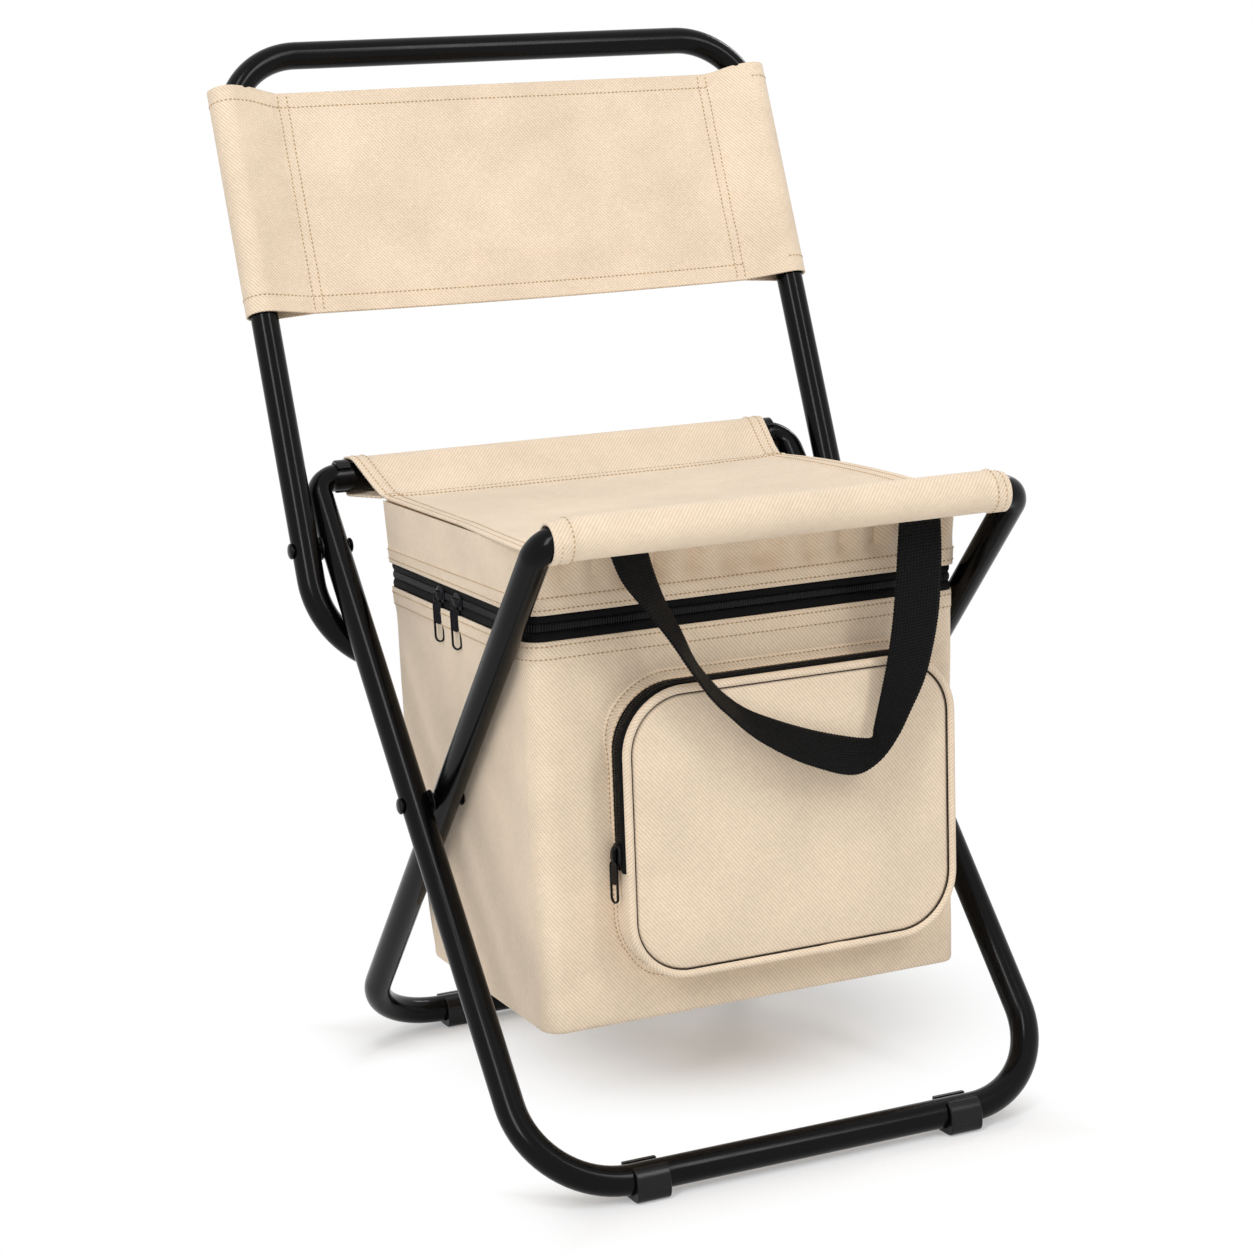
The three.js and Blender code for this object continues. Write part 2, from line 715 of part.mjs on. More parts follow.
function pocketRing(outset, depth) {
  return pocketCorners(outset)
    .flat()
    .map((point) => new THREE.Vector3(point.x, -depth, point.y));
}

const pocketBack = clearance;
const pocketFlangeFront = pocketBack + pocketFlangeDepth;
const pocketFront = pocketBack + pocketDepth;
const pocketShell = loft([
  pocketRing(pocketFlange, pocketBack),
  pocketRing(pocketFlange, pocketFlangeFront),
  pocketRing(0, pocketFlangeFront),
  pocketRing(0, pocketFront),
]);
add("pocket_shell", pocketShell, beigeCloth, pocketGroup);

const panelInset = 2 * pipingRadius + clearance;
const panelBack = pocketFront + clearance;
const pocketPanel = loft([
  pocketRing(-panelInset, panelBack),
  pocketRing(-panelInset, panelBack + pocketPanelThickness),
]);
add("pocket_panel", pocketPanel, beigeCloth, pocketGroup);

const pipingLoop = {
  left: pocketLeft + pipingRadius,
  right: pocketRight - pipingRadius,
  low: pocketBottomZ - pocketFrameZ + pipingRadius,
  high: pocketTopZ - pocketFrameZ - pipingRadius,
  lowBend: pocketCorner - pipingRadius,
  highBend: pocketCorner - pipingRadius,
  lowSteps: pocketCornerSteps,
  highSteps: pocketCornerSteps,
};
const piping = loopTube(pipingLoop, pipingRadius, pipingSides);
add("pocket_piping", piping.translate(0, -panelBack - pipingRadius, 0), beigeCloth, pocketGroup);

// The pocket's zipper: up its left side, along its top and round into its right side.
const pocketZipBottom = pocketBottomZ - pocketFrameZ + pocketZipStart;
const pocketZipBack = pocketFlangeFront + pocketZipFromFlange;
function pocketZipper() {
  const edges = [
    [clearance, pocketZipBack],
    [clearance, pocketZipBack + pocketZipWidth],
    [clearance + pocketZipThickness, pocketZipBack + pocketZipWidth],
    [clearance + pocketZipThickness, pocketZipBack],
  ];
  const lines = edges.map(([outset, depth]) => {
    const [, , topRight, topLeft] = pocketCorners(outset);
    const end = new THREE.Vector2(topLeft.at(-1).x, pocketZipBottom);
    return [...topRight, ...topLeft, end].map((point) => new THREE.Vector3(point.x, -depth, point.y));
  });
  return loft(lines[0].map((_, i) => lines.map((line) => line[i])));
}
add("pocket_zipper", pocketZipper(), blackTape, pocketGroup);

// A slider lies on a zipper: x along the zipper, z across it and y away from it, with a bridge.
const bridgeMiddle = clearance + sliderThickness + clearance + eyeRadius;
function box(xFrom, xTo, yFrom, yTo, zFrom, zTo) {
  const geometry = new THREE.BoxGeometry(xTo - xFrom, yTo - yFrom, zTo - zFrom);
  return geometry.translate((xFrom + xTo) / 2, (yFrom + yTo) / 2, (zFrom + zTo) / 2);
}

function slider() {
  const plateTop = clearance + sliderThickness;
  const barTop = bridgeMiddle + bridgeBar / 2;
  const [halfLength, halfWidth, halfBridge] = [sliderLength / 2, sliderWidth / 2, bridgeLength / 2];
  const halfBar = bridgeBar / 2;
  const plate = new THREE.Shape();
  plate.moveTo(-halfLength, -halfWidth / 2);
  plate.lineTo(-halfLength / 2, -halfWidth);
  plate.lineTo(halfLength / 2, -halfWidth);
  plate.lineTo(halfLength, -halfWidth / 2);
  plate.lineTo(halfLength, halfWidth / 2);
  plate.lineTo(halfLength / 2, halfWidth);
  plate.lineTo(-halfLength / 2, halfWidth);
  plate.lineTo(-halfLength, halfWidth / 2);
  const plateBody = new THREE.ExtrudeGeometry(plate, { depth: sliderThickness, bevelEnabled: false });
  const plateSolid = toSolid(plateBody.rotateX(-Math.PI / 2).translate(0, clearance, 0));
  const under = plateTop - sliderThickness / 2;
  const legs = [
    box(-halfBridge, -halfBridge + bridgeLeg, under, barTop, -halfBar, halfBar),
    box(halfBridge - bridgeLeg, halfBridge, under, barTop, -halfBar, halfBar),
  ];
  const bar = box(-halfBridge, halfBridge, bridgeMiddle - halfBar, barTop, -halfBar, halfBar);
  return toGeometry(plateSolid.add(toSolid(legs[0])).add(toSolid(legs[1])).add(toSolid(bar)));
}

// A pull hangs from the bridge, down -z, in the same frame with the bridge's middle at its origin.
function pull() {
  const ring = new THREE.Shape().absarc(0, 0, eyeRadius, 0, 2 * Math.PI, false);
  ring.holes.push(new THREE.Path().absarc(0, 0, eyeHoleRadius, 0, 2 * Math.PI, true));
  const eye = new THREE.ExtrudeGeometry(ring, { depth: eyeLength, bevelEnabled: false, curveSegments: 8 });
  eye.translate(0, 0, -eyeLength / 2).rotateY(Math.PI / 2);
  const half = pullWidth / 2;
  const top = -(eyeHoleRadius + eyeRadius) / 2;
  const tongue = new THREE.Shape();
  tongue.moveTo(-eyeLength / 2, top);
  tongue.lineTo(-half, top - half);
  tongue.absarc(0, -pullLength + half, half, Math.PI, 2 * Math.PI, false);
  tongue.lineTo(half, top - half);
  tongue.lineTo(eyeLength / 2, top);
  const slot = new THREE.Path();
  const slotRadius = pullSlotWidth / 2;
  const slotLow = -pullLength + pullSlotMargin + slotRadius;
  const slotHigh = slotLow + pullSlotLength - pullSlotWidth;
  slot.absarc(0, slotHigh, slotRadius, 0, Math.PI, false);
  slot.absarc(0, slotLow, slotRadius, Math.PI, 2 * Math.PI, false);
  tongue.holes.push(slot);
  const plate = new THREE.ExtrudeGeometry(tongue, {
    depth: pullThickness,
    bevelEnabled: false,
    curveSegments: 6,
  });
  plate.translate(0, 0, -pullThickness / 2).rotateX(Math.PI / 2);
  return toGeometry(toSolid(eye).add(toSolid(plate)));
}

// A slider and its pull on a face that looks to the left.
function addSlider(sliderName, pullName, parent, place) {
  const group = new THREE.Group();
  group.position.copy(place);
  group.rotation.z = Math.PI / 2;
  parent.add(group);
  add(sliderName, slider(), darkMetal, group);
  add(pullName, pull(), darkMetal, group).position.y = bridgeMiddle;
}

const zipMiddleZ = (bagZipBottomZ + bagZipTopZ) / 2;
const sliderPlaces = { rear: rearSliderY, front: frontSliderY };
for (const [end, y] of Object.entries(sliderPlaces)) {
  const place = new THREE.Vector3(-bagHalfWidth + zipperRecess, y, zipMiddleZ);
  addSlider(`zipper_slider_${end}`, `zipper_pull_${end}`, assembly, place);
}

const pocketSliderPlace = new THREE.Vector3(
  pocketLeft - clearance - pocketZipThickness,
  -pocketZipBack - pocketZipWidth / 2,
  pocketZipBottom + pocketSliderRise,
);
addSlider("pocket_slider", "pocket_pull", pocketGroup, pocketSliderPlace);

// The carry handle: a loop of webbing that hangs flat ahead of the pocket from under the seat.
function carryHandle() {
  const topZ = seatTopAt(handleY) - seatThickness - clearance;
  const straightZ = topZ - handleTopRun;
  const lowZ = topZ - handleDrop;
  const fullness = (edge) => THREE.MathUtils.lerp(handleLowestX, edge, handleFullnessShare);
  const point = (x, z) => new THREE.Vector3(x, handleY, z);
  const bendZ = THREE.MathUtils.lerp(straightZ, lowZ, handleFullnessShare);
  const left = new THREE.CubicBezierCurve3(
    point(handleLeftX, straightZ),
    point(handleLeftX, bendZ),
    point(fullness(handleLeftX), lowZ),
    point(handleLowestX, lowZ),
  );
  const right = new THREE.CubicBezierCurve3(
    point(handleLowestX, lowZ),
    point(fullness(handleRightX), lowZ),
    point(handleRightX, bendZ),
    point(handleRightX, straightZ),
  );
  const path = new THREE.CurvePath();
  path.add(new THREE.LineCurve3(point(handleLeftX, topZ), point(handleLeftX, straightZ)));
  path.add(left);
  path.add(right);
  path.add(new THREE.LineCurve3(point(handleRightX, straightZ), point(handleRightX, topZ)));
  const outward = new THREE.Vector3(0, -1, 0);
  const rings = [];
  for (let i = 0; i <= handleSteps; i++) {
    const middle = path.getPointAt(i / handleSteps);
    const forward = path.getTangentAt(i / handleSteps);
    const across = new THREE.Vector3().crossVectors(outward, forward).normalize();
    const ring = [
      [-1, -1],
      [1, -1],
      [1, 1],
      [-1, 1],
    ].map(([u, v]) => {
      const corner = middle.clone().addScaledVector(across, (u * webbingWidth) / 2);
      return corner.addScaledVector(outward, (v * webbingThickness) / 2);
    });
    rings.push(ring);
  }
  return loft(rings);
}
add("carry_handle", carryHandle(), blackWebbing);

// The origin is on the floor, under the middle of the whole stool.
const stool = new THREE.Group();
stool.add(assembly);
const bounds = new THREE.Box3().setFromObject(stool, true);
assembly.position.y = -(bounds.min.y + bounds.max.y) / 2;

export default stool;
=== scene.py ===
"""A folding cooler stool: tube frames, a sling seat and backrest, and a zipped cooler bag with a pocket.

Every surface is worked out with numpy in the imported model's frame: metres, +Z up, +Y to the rear, X across.
"""

import json
import math

import bpy
import numpy as np
from mathutils import Matrix


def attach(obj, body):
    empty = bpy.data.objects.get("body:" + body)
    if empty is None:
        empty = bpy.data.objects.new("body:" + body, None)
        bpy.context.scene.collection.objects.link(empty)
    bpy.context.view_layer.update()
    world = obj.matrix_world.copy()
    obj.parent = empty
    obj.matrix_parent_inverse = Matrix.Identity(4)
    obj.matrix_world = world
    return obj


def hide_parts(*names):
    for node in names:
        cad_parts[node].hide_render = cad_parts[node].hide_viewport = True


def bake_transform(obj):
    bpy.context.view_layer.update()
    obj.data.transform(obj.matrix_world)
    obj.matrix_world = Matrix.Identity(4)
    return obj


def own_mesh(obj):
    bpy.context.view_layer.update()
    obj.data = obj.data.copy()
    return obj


bl_info = {
    "name": "Folding Cooler Stool",
    "version": (1, 0, 0),
    "blender": (4, 5, 0),
    "location": "View3D > Sidebar > Stool",
    "description": "Builds a folding stool of crossed tube with a cooler bag under its seat",
    "category": "Add Mesh",
}

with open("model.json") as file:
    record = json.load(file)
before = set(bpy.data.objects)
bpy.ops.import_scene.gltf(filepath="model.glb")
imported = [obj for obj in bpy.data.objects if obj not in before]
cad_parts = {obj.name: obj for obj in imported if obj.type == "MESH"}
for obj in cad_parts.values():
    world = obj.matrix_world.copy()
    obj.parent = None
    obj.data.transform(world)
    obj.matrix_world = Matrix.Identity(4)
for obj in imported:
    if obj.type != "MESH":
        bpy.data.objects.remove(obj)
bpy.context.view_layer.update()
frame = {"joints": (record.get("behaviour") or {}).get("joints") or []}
JOINTS = {joint["name"]: joint for joint in frame["joints"]}
MM = 0.001

LEG_PIVOT = np.array(JOINTS["leg_fold"]["pos_m"], float)
BACK_PIVOT = np.array(JOINTS["back_fold"]["pos_m"], float)
CENTRE_Y = LEG_PIVOT[1]  # the bag's and the seat's own sizes are measured from the leg pivot
TUBE_RADIUS = 8 * MM
BAR_HEIGHT = 11 * MM  # of the foot bars' middle
CLEARANCE = 0.3 * MM
CLOTH = 1.2 * MM
SLEEVE_RADIUS = TUBE_RADIUS + 2.4 * MM  # of the outside of the cloth round a tube
X_AXIS = np.array([1.0, 0, 0])
UP = np.array([0, 0, 1.0])


def loop_of(pivot, lean, half_width, low, high, low_bend, high_bend):
    """A tube loop's sizes: heights are along the loop from its pivot, and lean is from upright."""
    up = np.array([0, math.sin(lean), math.cos(lean)])
    return {
        "pivot": pivot,
        "up": up,
        "out": np.array([0, -up[2], up[1]]),
        "half_width": half_width,
        "low": low,
        "high": high,
        "low_bend": low_bend,
        "high_bend": high_bend,
    }


OUTER_LEAN = math.radians(40.5)
INNER_LEAN = math.radians(-45.7)
INNER_BELOW = (LEG_PIVOT[2] - BAR_HEIGHT) / math.cos(INNER_LEAN)
OUTER = loop_of(LEG_PIVOT, OUTER_LEAN, 152 * MM, -231 * MM, 217 * MM, 52 * MM, 13 * MM)
INNER = loop_of(LEG_PIVOT, INNER_LEAN, 134.4 * MM, -INNER_BELOW, 228 * MM, 52 * MM, 12 * MM)
BACK = loop_of(BACK_PIVOT, math.radians(19.8), 169.6 * MM, -70 * MM, 296.7 * MM, 52 * MM, 46 * MM)
BACK_HOOK = math.radians(58)  # how far the back frame's lower ends turn inwards


def along(loop, distance):
    return loop["pivot"] + distance * loop["up"]


REAR_BAR = along(OUTER, OUTER["high"])
FRONT_BAR = along(INNER, INNER["high"])

SEAT_SEAM = REAR_BAR + [0, -28 * MM, -10 * MM]
SEAT_FRONT = FRONT_BAR + [0, 10 * MM, -10 * MM]
SEAT_SAG = 4.5 * MM
SEAT_LIFT = 5 * MM
SEAT_HEM = 10.5 * MM
ZIP_LOW = SEAT_SEAM[2] - 54.66 * MM
ZIP_HIGH = SEAT_SEAM[2] - 40.66 * MM
BAG_HEIGHT = 210 * MM  # below its zipper
BAG_BOTTOM = ZIP_LOW - BAG_HEIGHT
BAG_HALF = 125 * MM


# Sizes and colours that a user may change


def length_property(name, description, millimetres):
    return bpy.props.FloatProperty(
        name=name,
        description=description,
        default=millimetres * MM,
        unit="LENGTH",
        precision=4,
        min=0.0,
    )


def linear(hex_colour):
    """A colour written as sRGB hex, as the linear numbers that a shader takes."""
    channels = [int(hex_colour[i : i + 2], 16) / 255 for i in (1, 3, 5)]
    return [c / 12.92 if c <= 0.04045 else ((c + 0.055) / 1.055) ** 2.4 for c in channels]


def colour_property(name, description, hex_colour):
    return bpy.props.FloatVectorProperty(
        name=name,
        description=description,
        default=linear(hex_colour),
        subtype="COLOR",
        size=3,
        min=0.0,
        max=1.0,
    )


class StoolSizes(bpy.types.PropertyGroup):
    stitch_pitch: length_property("Stitch pitch", "From one stitch to the next", 2.6)
    weave_pitch: length_property("Weave pitch", "From one twill rib of the cloth to the next", 1.65)
    bag_fullness: length_property("Bag fullness", "How far the bag's panels stand out in their middle", 2.5)
    fold_depth: length_property("Fold depth", "Height of the soft folds in the bag's cloth", 1.3)
    pocket_crown: length_property("Pocket crown", "How far the pocket's panel stands out in its middle", 4.5)
    coil_pitch: length_property("Coil pitch", "From one zipper tooth to the next", 1.4)
    webbing_width: length_property("Webbing width", "Width of the carry handle", 25)
    webbing_rib: length_property("Webbing rib", "From one cross rib of the webbing to the next", 1.7)


class StoolColours(bpy.types.PropertyGroup):
    cloth: colour_property("Cloth", "Beige polyester of the seat, backrest and bag", "#EDD8BE")
    # The thread is darker than the cloth: partly its own colour, partly painted shade round the stitches.
    thread: colour_property("Thread", "Sewing thread on the beige cloth", "#BFA27B")
    tube: colour_property("Tube", "Powder coat on the frame", "#050506")
    plastic: colour_property("Plastic", "Feet, clips and washers", "#0B0B0C")
    metal: colour_property("Metal", "Rivets, sliders and pulls", "#1C1C1E")
    tape: colour_property("Tape", "Zipper tape and coil", "#0A0A0B")
    webbing: colour_property("Webbing", "Carry handle", "#060606")


# Surfaces


def full_turn(count):
    """Equal angles round a circle."""
    return np.arange(count) / count * 2 * np.pi


def looped(values, axis=0):
    """The same values with the first again at the end."""
    return np.concatenate([values, values.take([0], axis)], axis)


def grid(points, uv, wrap_u=False, wrap_v=False):
    """Quads over points[i, j]. uv[i, j] has one row or column more where the grid closes on itself."""
    rows, columns = points.shape[:2]
    i, j = np.meshgrid(np.arange(rows - (not wrap_u)), np.arange(columns - (not wrap_v)), indexing="ij")
    steps = [(0, 0), (1, 0), (1, 1), (0, 1)]
    faces = [((i + a) % rows) * columns + (j + b) % columns for a, b in steps]
    corner_uv = [uv[i + a, j + b] for a, b in steps]
    return (
        points.reshape(-1, 3),
        [np.stack(faces, -1).reshape(-1, 4)],
        [np.stack(corner_uv, 2).reshape(-1, 4, 2)],
    )


def arc_lengths(points):
    """Distance along a row of points, from its first."""
    steps = np.linalg.norm(np.diff(points, axis=0), axis=-1)
    return np.concatenate([[0], np.cumsum(steps)])


def tube(rings, closed=False):
    """A surface through rings[i, j] that closes round j. Its ends join, or each closes in a fan."""
    rows, columns = rings.shape[:2]
    path = looped(rings.mean(1)) if closed else rings.mean(1)
    uv = np.stack(np.meshgrid(arc_lengths(path), arc_lengths(looped(rings[0])), indexing="ij"), -1)
    points, faces, uvs = grid(rings, uv, wrap_u=closed, wrap_v=True)
    if not closed:
        first, last = len(points), len(points) + 1
        j = np.arange(columns)
        k = (j + 1) % columns
        end = (rows - 1) * columns
        points = np.concatenate([points, [rings[0].mean(0)], [rings[-1].mean(0)]])
        faces += [
            np.stack([np.full(columns, first), j, k], -1),
            np.stack([np.full(columns, last), end + k, end + j], -1),
        ]
        local = np.zeros((columns, 3, 2))
        uvs += [local, local]
    return points, faces, uvs


def joined(parts):
    """Several surfaces as one."""
    points, faces, uvs, count = [], [], [], 0
    for part_points, part_faces, part_uvs in parts:
        points.append(part_points)
        faces += [f + count for f in part_faces]
        uvs += part_uvs
        count += len(part_points)
    return np.concatenate(points), faces, uvs


def copies(part, origins, axes):
    """One small surface repeated at origins[n], with its x, y and z along axes[n]."""
    points, faces, uvs = part
    placed = origins[:, None] + np.einsum("pk,nkc->npc", points, axes)
    step = np.arange(len(origins)) * len(points)
    return (
        placed.reshape(-1, 3),
        [(f[None] + step[:, None, None]).reshape(-1, f.shape[1]) for f in faces],
        [np.tile(uv, (len(origins), 1, 1)) for uv in uvs],
    )


def signed_volume(points, faces):
    """Six times the volume that the faces close: the sum of a . (b x c) over the triangles of each face.
    It is negative if they face in."""
    total = 0.0
    for f in faces:
        for k in range(1, f.shape[1] - 1):
            a, b, c = points[f[:, 0]], points[f[:, k]], points[f[:, k + 1]]
            total += np.einsum("nc,nc->", a, np.cross(b, c))
    return total


def turned(part):
    """The same surface with its faces turned over."""
    points, faces, uvs = part
    return points, [f[:, ::-1] for f in faces], [uv[:, ::-1] for uv in uvs]


def outward(part):
    """A closed surface with its faces pointing out."""
    return turned(part) if signed_volume(part[0] - part[0].mean(0), part[1]) < 0 else part


def make_piece(name, part, look, crease=40, thickness=None):
    """Puts a surface into a mesh object at the origin, with its finish. It is shaded smooth except
    at edges sharper than crease degrees. A thickness goes inwards."""
    points, faces, uvs = part
    mesh = bpy.data.meshes.new(name)
    sizes = np.concatenate([np.full(len(f), f.shape[1]) for f in faces])
    corners = np.concatenate([f.ravel() for f in faces])
    mesh.vertices.add(len(points))
    mesh.vertices.foreach_set("co", points.astype(np.float32).ravel())
    mesh.loops.add(len(corners))
    mesh.loops.foreach_set("vertex_index", corners.astype(np.int32))
    mesh.polygons.add(len(sizes))
    starts = np.concatenate([[0], np.cumsum(sizes)[:-1]])
    mesh.polygons.foreach_set("loop_start", starts.astype(np.int32))
    layer = mesh.uv_layers.new(name="weave")
    flat_uv = np.concatenate([uv.reshape(-1, 2) for uv in uvs])
    layer.data.foreach_set("uv", flat_uv.astype(np.float32).ravel())
    mesh.update(calc_edges=True)
    if mesh.validate():
        raise RuntimeError(f"{name} had a face that isn't valid")
    mesh.polygons.foreach_set("use_smooth", np.ones(len(sizes), bool))
    mesh.set_sharp_from_angle(angle=math.radians(crease))
    mesh.materials.append(FINISHES[look])
    piece = bpy.data.objects.new(name, mesh)
    bpy.context.scene.collection.objects.link(piece)
    if thickness:
        solid = piece.modifiers.new("Cloth thickness", "SOLIDIFY")
        solid.thickness = thickness
        solid.offset = -1.0
        solid.use_even_offset = False
    return piece


def smooth_step(value, low, high):
    share = np.clip((value - low) / (high - low), 0, 1)
    return share * share * (3 - 2 * share)


def unit(vectors):
    return vectors / np.maximum(np.linalg.norm(vectors, axis=-1, keepdims=True), 1e-12)


# Sewing


THREAD_RADIUS = 0.34 * MM
STITCH_SHARE = 0.66  # of the pitch that the thread covers


def thread_stitch(length, radius):
    """One stitch along x. Its radius goes with the square root of 1 - share^2, where share is the distance
    from its middle over half its length, and it is a quarter wider than high."""
    share = np.array([-0.93, -0.6, 0.0, 0.6, 0.93])
    angle = full_turn(6)
    swell = radius * np.sqrt(1 - share**2)
    rings = np.stack(
        [
            np.broadcast_to(share[:, None] * length / 2, (5, 6)),
            swell[:, None] * np.cos(angle) * 1.25,
            swell[:, None] * np.sin(angle),
        ],
        -1,
    )
    return outward(tube(rings))


def stitch_row(path, normals, pitch):
    """Stitches along a path on a surface: one each pitch, laid along the path and a little sunk into it."""
    lengths = arc_lengths(path)
    count = max(int(lengths[-1] / pitch), 1)
    places = (np.arange(count) + 0.5) / count * lengths[-1]

    def at(values, where):
        return np.stack([np.interp(where, lengths, values[:, k]) for k in range(3)], -1)

    reach = pitch * STITCH_SHARE / 2
    tangent = unit(at(path, places + reach) - at(path, places - reach))
    normal = at(normals, places)
    normal = unit(normal - tangent * np.einsum("nc,nc->n", normal, tangent)[:, None])
    axes = np.stack([tangent, np.cross(normal, tangent), normal], 1)
    origins = at(path, places) + normal * THREAD_RADIUS * 0.25
    return copies(thread_stitch(pitch * STITCH_SHARE, THREAD_RADIUS), origins, axes)


# Materials


BAND = 0.314  # a wave texture's scale at which its bands are one unit apart
FINISHES = {}


def plug(tree, node, links):
    """Gives a node's sockets a value, or another node's output to take it from."""
    for key, value in links.items():
        if isinstance(value, bpy.types.NodeSocket):
            tree.links.new(value, node.inputs[key])
        else:
            node.inputs[key].default_value = value


def add_node(tree, kind, links=None, out=0, stops=(), **settings):
    """Adds a node with its settings and links, and gives one of its outputs. stops holds the position and the
    colour of a colour ramp's two ends."""
    made = tree.nodes.new(kind)
    for key, value in settings.items():
        setattr(made, key, value)
    for stop, (position, colour) in enumerate(stops):
        made.color_ramp.elements[stop].position = position
        made.color_ramp.elements[stop].color = colour
    plug(tree, made, links or {})
    return made.outputs[out]


def new_finish(name):
    """A material with only its output and shader nodes."""
    finish = bpy.data.materials.new(name)
    finish.use_nodes = True
    tree = finish.node_tree
    tree.nodes.clear()
    output = tree.nodes.new("ShaderNodeOutputMaterial")
    shader = tree.nodes.new("ShaderNodeBsdfPrincipled")
    tree.links.new(shader.outputs["BSDF"], output.inputs["Surface"])
    return finish, tree, shader


def opaque(colour, share=1.0):
    return [min(channel * share, 1.0) for channel in colour] + [1.0]


def shades(colour, dark, light):
    """A colour ramp's ends: the colour at two levels of brightness."""
    return (0.0, opaque(colour, dark)), (1.0, opaque(colour, light))


def twill_polyester(name, colour, pitch, contrast):
    """Woven polyester twill with a coated back: matt, with fine diagonal ribs that break up the light."""
    finish, tree, shader = new_finish(name)
    at = add_node(tree, "ShaderNodeUVMap", uv_map="weave")
    # The ribs are drawn a little coarser than a 600 denier cloth's, so that they show.
    links = {"Vector": at, "Rotation": (0, 0, math.radians(-40)), "Scale": (1 / pitch,) * 3}
    diagonal = add_node(tree, "ShaderNodeMapping", links)
    links = {"Vector": diagonal, "Scale": BAND, "Distortion": 0.5, "Detail": 1.0, "Detail Scale": 1.4}
    ribs = add_node(tree, "ShaderNodeTexWave", links, "Fac", wave_type="BANDS", bands_direction="X")
    links = {"Vector": at, "Rotation": (0, 0, math.radians(2)), "Scale": (1.55 / pitch,) * 3}
    threads = add_node(tree, "ShaderNodeMapping", links)
    links = {"Vector": threads, "Scale": BAND, "Distortion": 0.8, "Detail": 1.0}
    cross = add_node(tree, "ShaderNodeTexWave", links, "Fac", wave_type="BANDS", bands_direction="Y")
    weave = add_node(tree, "ShaderNodeMix", {0: 0.3, 2: ribs, 3: cross}, data_type="FLOAT")
    stops = (0.12, opaque(colour, 1 - contrast)), (0.85, opaque(colour, 1 + contrast * 0.35))
    tone = add_node(tree, "ShaderNodeValToRGB", {"Fac": weave}, stops=stops)
    # Two unevennesses of the dye: wide patches on the piece, and streaks along the ribs.
    position = add_node(tree, "ShaderNodeTexCoord", out="Object")
    links = {"Vector": position, "Scale": 22.0, "Detail": 4.0, "Roughness": 0.6}
    mottle = add_node(tree, "ShaderNodeTexNoise", links)
    slub = add_node(tree, "ShaderNodeTexNoise", {"Vector": diagonal, "Scale": 0.55, "Detail": 2.0})
    links = {"Value": mottle, "From Min": 0.3, "From Max": 0.7, "To Min": 0.91, "To Max": 1.04}
    shade = add_node(tree, "ShaderNodeMapRange", links)
    links = {"Value": slub, "From Min": 0.3, "From Max": 0.7, "To Min": 0.96, "To Max": 1.03}
    uneven = add_node(tree, "ShaderNodeMapRange", links)
    both = add_node(tree, "ShaderNodeMath", {0: shade, 1: uneven}, operation="MULTIPLY")
    tinted = add_node(tree, "ShaderNodeVectorMath", {0: tone, "Scale": both}, operation="SCALE")
    height = add_node(tree, "ShaderNodeMath", {0: weave, 1: slub}, operation="ADD")
    bump = add_node(tree, "ShaderNodeBump", {"Height": height, "Strength": 0.45, "Distance": 0.22 * MM})
    plug(tree, shader, {"Base Color": tinted, "Normal": bump, "Roughness": 0.88, "IOR": 1.45})
    plug(tree, shader, {"Specular IOR Level": 0.25, "Sheen Weight": 0.25, "Sheen Roughness": 0.5})
    return finish


def polyester_thread(name, colour):
    """Twisted sewing thread: a soft sheen broken by its plies."""
    finish, tree, shader = new_finish(name)
    at = add_node(tree, "ShaderNodeTexCoord", out="Object")
    plies = add_node(tree, "ShaderNodeTexNoise", {"Vector": at, "Scale": 1400.0, "Detail": 1.0})
    stops = (0.35, opaque(colour, 0.72)), (0.65, opaque(colour, 1.1))
    tone = add_node(tree, "ShaderNodeValToRGB", {"Fac": plies}, stops=stops)
    plug(tree, shader, {"Base Color": tone, "Roughness": 0.7})
    return finish


def powder_coated_steel(name, colour):
    """Gloss black powder coat: deep black with narrow streaks of light, softened by its orange peel."""
    finish, tree, shader = new_finish(name)
    at = add_node(tree, "ShaderNodeTexCoord", out="Object")
    peel = add_node(tree, "ShaderNodeTexNoise", {"Vector": at, "Scale": 420.0, "Detail": 2.0})
    dust = add_node(tree, "ShaderNodeTexNoise", {"Vector": at, "Scale": 60.0, "Detail": 5.0})
    links = {"Value": dust, "From Min": 0.3, "From Max": 0.7, "To Min": 0.16, "To Max": 0.21}
    rough = add_node(tree, "ShaderNodeMapRange", links)
    tone = add_node(tree, "ShaderNodeValToRGB", {"Fac": dust}, stops=shades(colour, 0.8, 1.4))
    bump = add_node(tree, "ShaderNodeBump", {"Height": peel, "Strength": 0.12, "Distance": 0.05 * MM})
    plug(tree, shader, {"Base Color": tone, "Roughness": rough, "Normal": bump, "IOR": 1.22})
    return finish


def moulded_nylon(name, colour):
    """Satin black moulded plastic: a soft wide sheen over a fine spark texture."""
    finish, tree, shader = new_finish(name)
    at = add_node(tree, "ShaderNodeTexCoord", out="Object")
    grain = add_node(tree, "ShaderNodeTexNoise", {"Vector": at, "Scale": 1600.0, "Detail": 2.0})
    wear = add_node(tree, "ShaderNodeTexNoise", {"Vector": at, "Scale": 90.0, "Detail": 4.0})
    tone = add_node(tree, "ShaderNodeValToRGB", {"Fac": wear}, stops=shades(colour, 0.8, 1.5))
    rough = add_node(tree, "ShaderNodeMapRange", {"Value": wear, "To Min": 0.2, "To Max": 0.32})
    bump = add_node(tree, "ShaderNodeBump", {"Height": grain, "Strength": 0.15, "Distance": 0.05 * MM})
    plug(tree, shader, {"Base Color": tone, "Roughness": rough, "Normal": bump, "IOR": 1.33})
    return finish


